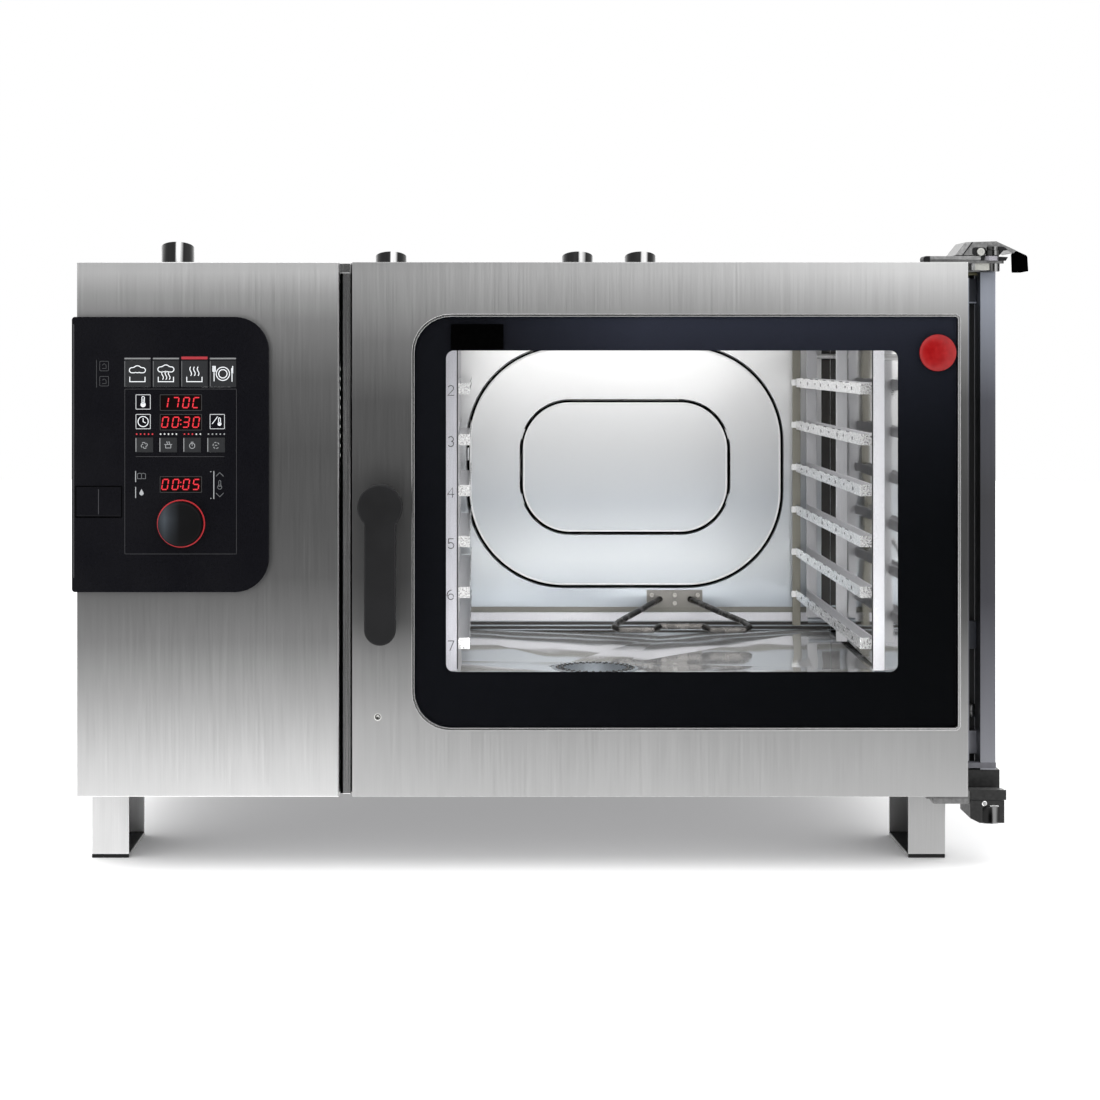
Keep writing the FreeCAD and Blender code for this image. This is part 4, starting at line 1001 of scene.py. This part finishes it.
def racks():
    """Front strips, stamped bands along the ledges and the tabs on the right rear post."""
    for side, name in ((1, "rack_left"), (-1, "rack_right")):
        left, right, front, rear, bottom, top = edges(name)
        post = left if side > 0 else right
        body = "left_rack" if side > 0 else "right_rack"
        inner = post + side * 32
        strip = Piece(name + "_front_strip")
        x0, x1 = sorted((post + side * 0.4, post + side * 15.6))
        strip.slab(rounded(x0, x1, bottom + 1, top - 1, 1.5, steps=3), front - 1.6, front - 0.05)
        # The strips are one steel: the right one glows as painted light, the left keeps a darker
        # bluish satin.
        strip.finish(satin(0.66, 0.66, 0.71) if side > 0 else glow(0.90, 0.90, 0.94, 0.14), body,
                     "polished_steel", bevel=0.4)
        lines = Piece(name + "_front_lines")
        x0, x1 = sorted((post + side * 15.8, post + side * 17.2))
        lines.block(x0, x1, front - 1.9, front - 0.1, bottom + 3, top - 3)
        lines.finish(plain(0.03, 0.03, 0.03, 0.4), body, "black_plastic")
        bands, marks = Piece(name + "_bands"), Piece(name + "_marks")
        face = inner + side * 0.9
        for level, height in enumerate(LEVELS):
            near, far = sorted((inner, face))
            low, high = height - 15.5, height - 0.5
            bands.slab([(front - 0.2, low), (front - 0.2, high), (rear - 3, high), (rear - 3, low)],
                       near, far, axis="x")
            x0, x1 = sorted((post + side * 17.4, face))
            bands.slab(rounded(x0, x1, low, high, 2.0, steps=4), front - 1.6, front - 0.05)
            near, far = sorted((face - side * 0.2, face + side * 0.3))
            for place in range(8):
                y = front + 52 + place * 74 + (place * 29 + level * 17) % 23
                marks.slab(rounded(y, y + 8, height - 11 + place % 2 * 2, height - 6, 1.4, steps=3),
                           near, far, axis="x")
                marks.slab(rounded(y + 30, y + 56, high - 0.9, high + 0.4, 0.5, steps=2), near, far,
                           axis="x")
        bands.finish(rack_steel(), body, "polished_steel", bevel=0.3)
        marks.finish(plain(0.03, 0.03, 0.034, 0.4), body, "black_plastic")
    # The swung baffle passes close to the left rack, so only the right one has these.
    tabs = Piece("rack_right_tabs")
    for height in LEVELS:
        tabs.slab(rounded(inner - 8, inner + 1, height - 13, height - 3, 1.5, steps=2), rear - 1.0,
                  rear + 0.8)
    tabs.finish(satin(0.85, 0.85, 0.85), "right_rack", "polished_steel", bevel=0.4)
    upright = Piece("rack_right_upright")
    upright.block(inner - 6, inner + 7, rear + 0.9, rear + 4.5, bottom - 14, top - 1)
    upright.finish(satin(0.26, 0.25, 0.21), "right_rack", "polished_steel", bevel=0.5)


racks()

FIGURES = {  # strokes of the level numbers, in half widths and half heights
    2: [arc(0, 0.45, 0.55, 160, -40, 10) + [(-0.6, -1.0), (0.65, -1.0)]],
    3: [arc(0, 0.48, 0.52, 150, -80, 10), arc(0, -0.46, 0.56, 80, -150, 10)],
    4: [[(0.35, -1.0), (0.35, 1.0), (-0.65, -0.35), (0.7, -0.35)]],
    5: [[(0.55, 1.0), (-0.45, 1.0), (-0.5, 0.1)] + arc(0, -0.38, 0.6, 130, -150, 12)],
    6: [arc(0.35, -0.1, 1.1, 100, 190, 8), circle(0, -0.4, 0.56, 20)],
    7: [[(-0.6, 1.0), (0.6, 1.0), (-0.2, -1.0)]]}


def level_numbers():
    left, _, front = edges("rack_left")[:3]
    numbers = Piece("level_numbers")
    for level, strokes in FIGURES.items():
        height = 603.7 - 68.2 * (level - 2)
        for points in placed(strokes, left + 7.6, height, 6.6):
            numbers.ribbon(points, 1.2, front - 1.85, front - 1.55)
    numbers.finish(plain(0.11, 0.11, 0.12, 0.5), "left_rack", "black_plastic")


level_numbers()


def baffle_edges():
    """Black painted shade in the gaps round the baffle and its cover, each with a painted highlight
    on its rolled edge.
    """
    for name, inset, radius in (("fan_baffle", 0, 154), ("cover_plate", 15, 78)):
        left, right, front, _, bottom, top = edges(name)
        if name == "fan_baffle":
            left += 2
            front += 1
        outline = lambda grow: rounded(left + inset - grow, right - inset + grow, bottom - grow,
                                       top + grow, radius + grow, steps=24)
        # A black frame: painted shade in the gap.
        gap = Piece(name + "_shaded_gap")
        gap.frame(outline(0.7), outline(-2.1), front - 0.5, front + 0.9)
        gap.finish(void(), "baffle", "black_plastic")
        # Bright satin on the rolled edge: a painted highlight.
        roll = Piece(name + "_roll")
        roll.frame(outline(-2.2), outline(-5.2), front - 1.3, front + 0.9)
        roll.finish(satin(0.9, 0.9, 0.9), "baffle", "polished_steel", bevel=0.6)


def back_folds():
    """Folded foot of the back wall, its rolls in painted shade, and painted shade in the corners of
    the cavity.
    """
    left, right = edges("cavity_liner")[:2]
    face = edges("fan_baffle")[3]
    olive = satin(0.22, 0.215, 0.19)
    # Near black: painted shade on the rolls low on the wall and in the rear corner.
    dark = plain(0.022, 0.019, 0.016, 0.35)
    fold = Piece("wall_fold")
    fold.block(left + 2, right - 2, face - 3.0, face - 0.1, 235.5, 243.8)
    fold.finish(olive, "casing", "polished_steel", bevel=0.8)
    apron = Piece("wall_apron")
    apron.block(left + 2, right - 2, face - 4.0, face - 0.1, 221, 235)
    apron.finish(satin(0.80, 0.80, 0.84), "casing", "polished_steel", bevel=0.8)
    rolls = Piece("wall_rolls")
    for low, high in ((202.5, 206.0), (208.2, 212.6), (215.0, 219.6)):
        rolls.block(left + 2, right - 2, face - 4.5, face - 0.1, low, high)
    rolls.finish(dark, "casing", "polished_steel", bevel=0.8)
    corner = Piece("wall_corner_shade")
    corner.block(right - 16, right - 1.8, face - 2.0, face - 0.1, 246, 699)
    corner.finish(dark, "casing", "polished_steel", bevel=0.6)


back_folds()


def rivets_and_sieve():
    """Ring rivets on the hook's plate and raised dimples round the sieve."""
    left, right, face, _, bottom, top = edges("hook_plate")
    centre = (left + right) / 2
    rivets = Piece("hook_rivets")
    for x, z in ((left + 8, top - 8), (centre, top - 8), (right - 8, top - 8), (centre, top - 21),
                 (left + 7, bottom + 6)):
        rivets.lathe([(3.6, 0.3), (3.6, -0.8), (2.6, -1.2), (1.4, -0.5), (0.02, -0.5)], x, z,
                     steps=20, level=face)
    rivets.finish(satin(0.62, 0.60, 0.56), "casing", "polished_steel")
    x0, x1, y0, y1, _, z1 = edges("drain_sieve")
    dimples = Piece("sieve_dimples")
    for radius, count in ((48, 30), (55, 36)):
        for x, y in circle((x0 + x1) / 2, (y0 + y1) / 2, radius, count):
            dimples.lathe([(2.2, -0.2), (2.2, 0.5), (1.4, 1.4), (0.02, 1.6)], x, y, "z", steps=10,
                          level=z1)
    dimples.finish(dark_wire(), "sieve", "polished_steel")


rivets_and_sieve()


def pressed_floor():
    """Shallow facets pressed into the floor, falling from its rim to the sieve."""
    left, right = edges("cavity_liner")[:2]
    x0, x1, y0, y1, _, z1 = edges("drain_sieve")
    sieve = Vector(((x0 + x1) / 2, (y0 + y1) / 2))
    level = z1 - 1.5
    near, far = left + 8, right - 8
    low, high = 112, edges("fan_baffle")[3] - 6
    rim = [(near, low), (150, low), (far, low), (far, 430), (far, high), (240, high), (near, high),
           (near, 520)]
    inner = [tuple(sieve + (Vector(place) - sieve).normalized() * 70) for place in rim]
    top = [level + (11.0 if i % 2 == 0 else 1.5) for i in range(8)]
    floor = Piece("floor_facets")
    floor.skin([[(x, y, level + 0.05) for x, y in rim],
                [(x, y, z) for (x, y), z in zip(rim, top)],
                [(x, y, level + 0.9) for x, y in inner],
                [(x, y, level + 0.05) for x, y in inner]], closed=True)
    bmesh.ops.triangulate(floor.mesh, faces=floor.mesh.faces[:])
    floor.finish(cavity_steel(), "casing", "polished_steel", smooth=0.4)


pressed_floor()
baffle_edges()


# ------------------------------------------------------------------ hinges and slide
def top_arm():
    """Casting over the upper pivot, with its screw, bolt and wedge-shaped foot, and painted shade in
    its groove and hollows.
    """
    back, bottom = edges("top_hinge_arm")[3:5]
    column = edges("slide_column")
    arm = Piece("arm_casting")
    arm.slab([(551.5, 777.9), (565, 795), (604.4, 796.2), (630, 784.4), (626, 780.5),
              (618.3, 784.2), (612.9, 784.2), (608.2, 779.2), (607, 777.9)], 40, back)
    arm.block(column[0], column[1], column[2] + 2, back, bottom, 781)
    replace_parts(arm.finish(cast_grey(0.15), "casing", "cast_grey", bevel=0.8), "top_hinge_arm")
    band = Piece("arm_band")
    band.slab([(553, 778.4), (565.6, 794.4), (572.6, 794.7), (560.4, 778.4)], 39.5, 40.4)
    band.finish(cast_grey(0.24), "casing", "cast_grey", bevel=0.3)
    # Black pieces in the groove, round the screw and on the side of the boss: painted shade.
    gap = Piece("arm_groove_shade")
    gap.ribbon([(561.6, 778.3), (573.9, 795)], 1.3, 39.6, 40.4)
    gap.slab(rounded(573.5, 591, 778.3, 788.2, 3), 39.5, 40.4)
    gap.slab([(606, 789.4), (613, 789.2), (619, 785.4), (612.9, 783.9), (608.6, 778.9),
              (606, 778.9)], 39.3, 44)
    gap.finish(matte_black(0.006), "casing", "cast_grey", bevel=0.3)
    screw = Piece("arm_screw")
    screw.lathe([(5, 0.6), (5, -1.6), (4.2, -2.6), (2.6, -2.6), (2.2, -1.6), (0.02, -1.6)], 584.4,
                782.5, level=39.4)
    screw.finish(satin(0.42, 0.42, 0.40), "casing", "machined_steel", bevel=0.2)
    bolt = Piece("pivot_bolt")
    bolt.lathe([(8.7, 0), (8.7, 6.0), (7.6, 6.4), (7.9, 7.2), (7.9, 10.2), (7.2, 11)], 599.6, 41,
               "z", level=778.2)
    bolt.finish(streaked_steel(0.03, 0.22, 0.55), "casing", "machined_steel")

    wedge = Piece("guide_wedge")
    outline = ((625.6, 1, 757.9), (624.7, 1, 781), (627, 1, 785.7), (643, 0.2, 778.6),
               (644.8, 0.2, 776.6), (646, 0.2, 757.9))
    wedge.skin([[(x + taper * share, y, z) for x, share, z in outline]
                for y, taper in ((43.5, 0), (98, 11))])
    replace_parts(wedge.finish(void(), "casing", "black_plastic", bevel=0.8), "guide_block")


def door_pivot():
    """Strap, link, barrel and nut that carry the door's top corner."""
    strap = Piece("top_strap")
    strap.slab(rounded(518, 584.2, 772.6, 777.2, 1.6, 0.5, 0.5, 1.6, steps=3), 38.6, 62)
    strap.slab([(573, 759.3), (577.4, 759.3), (577.4, 776), (573, 776)], 41, 60)
    strap.finish(cast_grey(0.22), "door", "cast_grey", bevel=0.5)
    link = Piece("top_link")
    link.slab([(577.2, 759.3), (596, 759.3), (596, 769.6), (577.2, 769.6)], 42, 59)
    link.finish(satin(0.40, 0.40, 0.37), "door", "hinge_steel", bevel=0.6)
    barrel = Piece("top_barrel")
    barrel.lathe([(7.6, 0), (8.3, 0.8), (8.3, 11.6), (7.7, 12.2)], 602, 49.4, "z", level=757.5)
    barrel.finish(streaked_steel(0.06, 0.30, 0.55), "door", "hinge_steel")
    nut = Piece("top_nut")
    nut.lathe([(8.2, 0), (9.0, 0.7), (9.0, 5.3), (8.2, 6)], 598.6, 41, "z", steps=6, level=771.4)
    nut.finish(satin(0.30, 0.29, 0.32), "door", "hinge_steel", smooth=20)
    cap = Piece("strap_end")
    cap.slab(rounded(511, 519.5, 768.8, 777.2, 3.6, 0.4, 0.4, 3.6, steps=4), 38.2, 62.5)
    cap.slab([(584, 771.6), (589, 771.6), (589, 777), (584, 777)], 38.4, 41)
    cap.finish(matte_black(0.006), "door", "cast_grey", bevel=0.5)
    fin = Piece("stop_fin")
    fin.slab([(607, 771), (615.5, 771.1), (618.4, 775.8), (607, 776.4)], 36, 40)
    fin.finish(matte_black(0.004), "door", "black_plastic", bevel=0.4)


def slide_fittings():
    """Pin, blocks and roller of the side rails, and the dark cover behind them."""
    pin = Piece("rail_pin")
    pin.lathe([(2.0, 571), (2.3, 571.4), (2.3, 588.6), (2.0, 589)], 88, 756.4, "x", steps=24)
    pin.finish(plain(0.16, 0.15, 0.08, 0.4), "casing", "cast_grey")
    blocks = Piece("rail_blocks")
    blocks.slab(rounded(577.4, 588.8, 720, 750, 1.2), 87, 99)
    blocks.slab(rounded(573.5, 588.8, 271, 307, 2.0), 87, 99)
    blocks.finish(plain(0.020, 0.023, 0.032, 0.4), "casing", "black_plastic", bevel=0.8)
    roller = Piece("rail_roller")
    roller.lathe([(4.2, 0), (5.6, 1.2), (5.6, 7), (4.8, 8), (5.6, 9), (5.6, 16.8), (4.2, 18)], 582,
                 92, "z", level=182)
    roller.finish(streaked_steel(0.06, 0.30, 0.55), "casing", "machined_steel")
    strip = Piece("rail_strip")
    strip.slab(rounded(572.6, 577.6, 140, 168, 2.4), 79.5, 83.8)
    strip.finish(bright_steel(), "casing", "aluminium_profile", bevel=0.4)

    left, right, front, _, bottom, top = edges("slide_column")
    bands = Piece("column_bands")
    bands.block(left - 0.5, right + 0.5, front - 0.6, front + 12, bottom + 2.5, bottom + 9.5)
    bands.finish(plain(0.10, 0.10, 0.115, 0.5), "casing", "aluminium_profile", bevel=0.3)
    groove = Piece("column_groove")
    groove.block(left + 8.2, left + 11.8, front - 0.25, front + 0.3, bottom + 12, top - 8)
    groove.finish(anodised(), "casing", "aluminium_profile")

    cover = Piece("slide_cover")
    cover.block(560.4, 588.6, 99.5, 101.5, 119, 769.4)
    cover.finish(plain(0.004, 0.004, 0.0045, 0.5), "casing", "black_plastic")


def bottom_pivot():
    """Cover, barrel and screw of the lower pivot."""
    blind = Piece("bottom_plate_cover")
    blind.block(570.6, 616.6, 38.4, 39.8, 84.6, 97.4)
    blind.finish(cast_grey(0.020), "door", "cast_grey", bevel=0.4)

    foot = Piece("bottom_barrel")
    foot.lathe([(14.8, 0), (16.3, 1.6), (16.3, 19.5), (15, 21.3)], 597.6, 52, "z", level=54.6)
    foot.finish(streaked_steel(0.012, 0.16, 0.55), "casing", "cast_grey")
    lower = Piece("bottom_plate_end")
    lower.slab(rounded(523, 571, 79, 86.2, 2.8, 0.6, 0.6, 2.8), 42, 62)
    lower.finish(cast_grey(0.16), "door", "hinge_steel", bevel=0.5)
    small = Piece("bottom_screw")
    small.lathe([(3.4, 0.4), (3.4, -1.4), (2.6, -2.2), (0.02, -2.2)], 589, 80, level=40)
    small.block(596, 607, 39.2, 40.5, 75.6, 77.6)
    small.finish(bright_steel(), "casing", "machined_steel", bevel=0.2)


top_arm()
door_pivot()
slide_fittings()
bottom_pivot()


# ------------------------------------------------------------------ casing
def screw_row(piece, points, axis, level, out):
    """Domed screw heads with a dimple, standing on a panel."""
    dome = ((4.6, -0.3), (4.6, 0.5), (3.8, 1.5), (2.2, 2.0), (1.9, 1.2), (0.02, 1.2))
    for first, second in points:
        piece.lathe([(radius, out * rise) for radius, rise in dome], first, second, axis, steps=14,
                    level=level)


def along(start, end, count):
    """Evenly spaced values with both ends included."""
    return [start + (end - start) * i / (count - 1) for i in range(count)]


def border(a0, a1, b0, b1, across, up):
    """Screw places round a panel: both level edges, then both upright edges."""
    places = [(a, b) for a in along(a0, a1, across) for b in (b0, b1)]
    return places + [(a, b) for a in (a0, a1) for b in along(b0, b1, up)[1:-1]]


STUBS = ((-518, 669), (-198, 880), (105, 880), (207, 880))  # centres of the roof stubs


def casing_details():
    """Screws, seams, plates and pressed louvres on the back, the sides and the roof."""
    left, right, _, back, bottom, top = edges("back_panel")
    screws = Piece("casing_screws")
    screw_row(screws, border(left + 14, right - 14, bottom + 14, top - 14, 8, 5), "y", back, 1)
    side = edges("left_side_panel")
    screw_row(screws, border(side[2] + 60, side[3] - 18, bottom + 16, top - 16, 6, 4), "x",
              side[0], -1)
    roof = edges("top_cover")
    screw_row(screws, border(roof[0] + 16, roof[1] - 16, roof[2] + 30, roof[3] - 16, 7, 5), "z",
              roof[5], 1)
    screws.finish(satin(0.30, 0.30, 0.31), "casing", "polished_steel")

    seams = Piece("casing_seams")
    seams.block(-233.2, -232.0, back - 0.2, back + 0.3, bottom + 2, top - 2)
    seams.block(-233.2, -232.0, roof[2] + 4, roof[3] - 4, roof[5] - 0.2, roof[5] + 0.3)
    hatch = rounded(side[2] + 90, side[3] - 60, bottom + 60, top - 60, 12)
    inside = rounded(side[2] + 91.2, side[3] - 61.2, bottom + 61.2, top - 61.2, 10.8)
    seams.skin([[(x, a, b) for a, b in ring] for x, ring in
                ((side[0] - 0.3, hatch), (side[0] + 0.2, hatch), (side[0] + 0.2, inside),
                 (side[0] - 0.3, inside))], closed=True)
    seams.finish(void(), "casing", "black_plastic")

    louvres, slots = Piece("side_louvres"), Piece("side_louvre_slots")
    for low in along(bottom + 110, bottom + 270, 9):
        for near in (side[2] + 150, side[2] + 290):
            hood = [(side[0] + 0.3, low), (side[0] - 3.6, low + 0.4), (side[0] - 3.2, low + 3.4),
                    (side[0] - 1.8, low + 7), (side[0] + 0.3, low + 10)]
            louvres.slab(hood, near, near + 110)
            slots.block(side[0] - 3.2, side[0] + 0.2, near + 2, near + 108, low - 0.8, low + 0.1)
    louvres.finish(casing_steel("y"), "casing", "stainless_panel", bevel=0.5)
    slots.finish(void(), "casing", "black_plastic")

    plates = Piece("back_plates")
    plates.slab(rounded(-180, -60, 560, 640, 3), back - 0.2, back + 0.9)
    plates.finish(satin(0.55, 0.55, 0.56), "casing", "polished_steel", bevel=0.3)
    box = Piece("terminal_cover")
    box.slab(rounded(-520, -310, 200, 330, 8), back - 0.2, back + 9)
    box.finish(casing_steel("x"), "casing", "stainless_panel", bevel=2.0, segments=3)
    rim = Piece("terminal_screws")
    screw_row(rim, border(-508, -322, 212, 318, 2, 2), "y", back + 9, 1)
    screw_row(rim, border(-174, -66, 566, 634, 2, 2), "y", back + 0.9, 1)
    rim.finish(satin(0.30, 0.30, 0.31), "casing", "polished_steel")
    hatch = Piece("roof_hatch")
    hatch.slab(rounded(roof[0] + 86, -270, roof[2] + 330, roof[3] - 120, 10), roof[5] - 0.2,
               roof[5] + 1.6, axis="z")
    hatch.finish(casing_steel("y"), "casing", "stainless_panel", bevel=0.6)
    collars = Piece("stub_collars")
    for x, y in STUBS:
        rings = [[(a, b, roof[5] + height) for a, b in circle(x, y, radius, 40)] for radius, height
                 in ((34, -0.2), (34, 1.0), (31, 1.8), (26.6, 2.2), (25.9, 5.0), (25.3, 5.0),
                     (25.3, -0.2))]
        collars.skin(rings, closed=True)
    collars.finish(satin(0.34, 0.34, 0.35), "casing", "polished_steel")


casing_details()


# ------------------------------------------------------------------ studio
def lamp(name, place, toward, size, power):
    data = bpy.data.lights.new(name, "AREA")
    data.shape = "RECTANGLE"
    data.size, data.size_y = size
    data.energy = power
    item = bpy.data.objects.new(name, data)
    bpy.context.scene.collection.objects.link(item)
    item.location = place
    item.rotation_euler = (toward - place).to_track_quat("-Z", "Y").to_euler()


def world():
    """White to the eye; darker towards the viewer's side, so that glass stays dark."""
    place = bpy.data.worlds.new("studio")
    bpy.context.scene.world = place
    place.use_nodes = True
    nodes, links = place.node_tree.nodes, place.node_tree.links
    nodes.clear()
    way = nodes.new("ShaderNodeTexCoord")
    split = nodes.new("ShaderNodeSeparateXYZ")
    links.new(way.outputs["Generated"], split.inputs[0])
    dark = nodes.new("ShaderNodeMapRange")
    dark.interpolation_type = "SMOOTHSTEP"
    links.new(split.outputs[1], dark.inputs["Value"])
    for name, value in zip(RANGE_INPUTS, (-0.985, -0.90, 0.03, 1.75)):
        dark.inputs[name].default_value = value
    seen = nodes.new("ShaderNodeLightPath")
    level = nodes.new("ShaderNodeMix")
    links.new(seen.outputs["Is Camera Ray"], level.inputs["Factor"])
    links.new(dark.outputs[0], level.inputs[2])
    level.inputs[3].default_value = 1.0
    sky = nodes.new("ShaderNodeBackground")
    sky.inputs["Color"].default_value = (1, 1, 1, 1)
    links.new(level.outputs[0], sky.inputs["Strength"])
    out = nodes.new("ShaderNodeOutputWorld")
    links.new(sky.outputs[0], out.inputs["Surface"])


def studio():
    """Pale seamless floor, lamps inside the cavity and one soft lamp overhead."""
    world()
    floor = Piece("floor")
    floor.slab(circle(0, 478, 9000, 64), -20, 0, axis="z")
    ground = floor.finish(paper(), "casing")
    ground.parent = None
    del ground["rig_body"]
    ground.visible_glossy = False
    lamp("cavity_light", spot(187, 120, 690), spot(187, 500, 400), (0.5, 0.04), 0.40)
    lamp("cavity_front", spot(187, 92, 430), spot(187, 500, 430), (0.58, 0.42), 0.60)
    lamp("cavity_fill", spot(187, 95, 260), spot(187, 500, 500), (0.5, 0.03), 0.5)
    lamp("cavity_floor", spot(187, 470, 692), spot(187, 471, 200), (0.45, 0.55), 1.15)
    lamp("top_light", spot(-600, -1400, 2600), spot(0, 400, 500), (2.0, 2.0), 12)


studio()


def camera():
    """Level view with a shifted lens, from in front of the cavity's left end."""
    data = bpy.data.cameras.new("camera")
    item = bpy.data.objects.new("camera", data)
    bpy.context.scene.collection.objects.link(item)
    item.location = spot(-53.4, -2990, 655)
    item.rotation_euler = (math.pi / 2, 0, 0)
    data.sensor_width = 36
    data.lens = 77.85
    # The shift belongs to this place only; it goes when the camera is moved for another view.
    for channel, amount in (("shift_x", 0.0636), ("shift_y", -0.18)):
        driver = data.driver_add(channel).driver
        driver.type = "SCRIPTED"
        for axis, name in (("LOC_X", "across"), ("LOC_Y", "along")):
            source = driver.variables.new()
            source.name = name
            source.type = "TRANSFORMS"
            source.targets[0].id = item
            source.targets[0].transform_type = axis
            source.targets[0].transform_space = "WORLD_SPACE"
        driver.expression = "%.4f if abs(across - %.5f) + abs(along - %.5f) < 0.002 else 0.0" % (
            amount, item.location.x, item.location.y)
    bpy.context.scene.camera = item
    bpy.context.scene.view_settings.view_transform = "Standard"


camera()
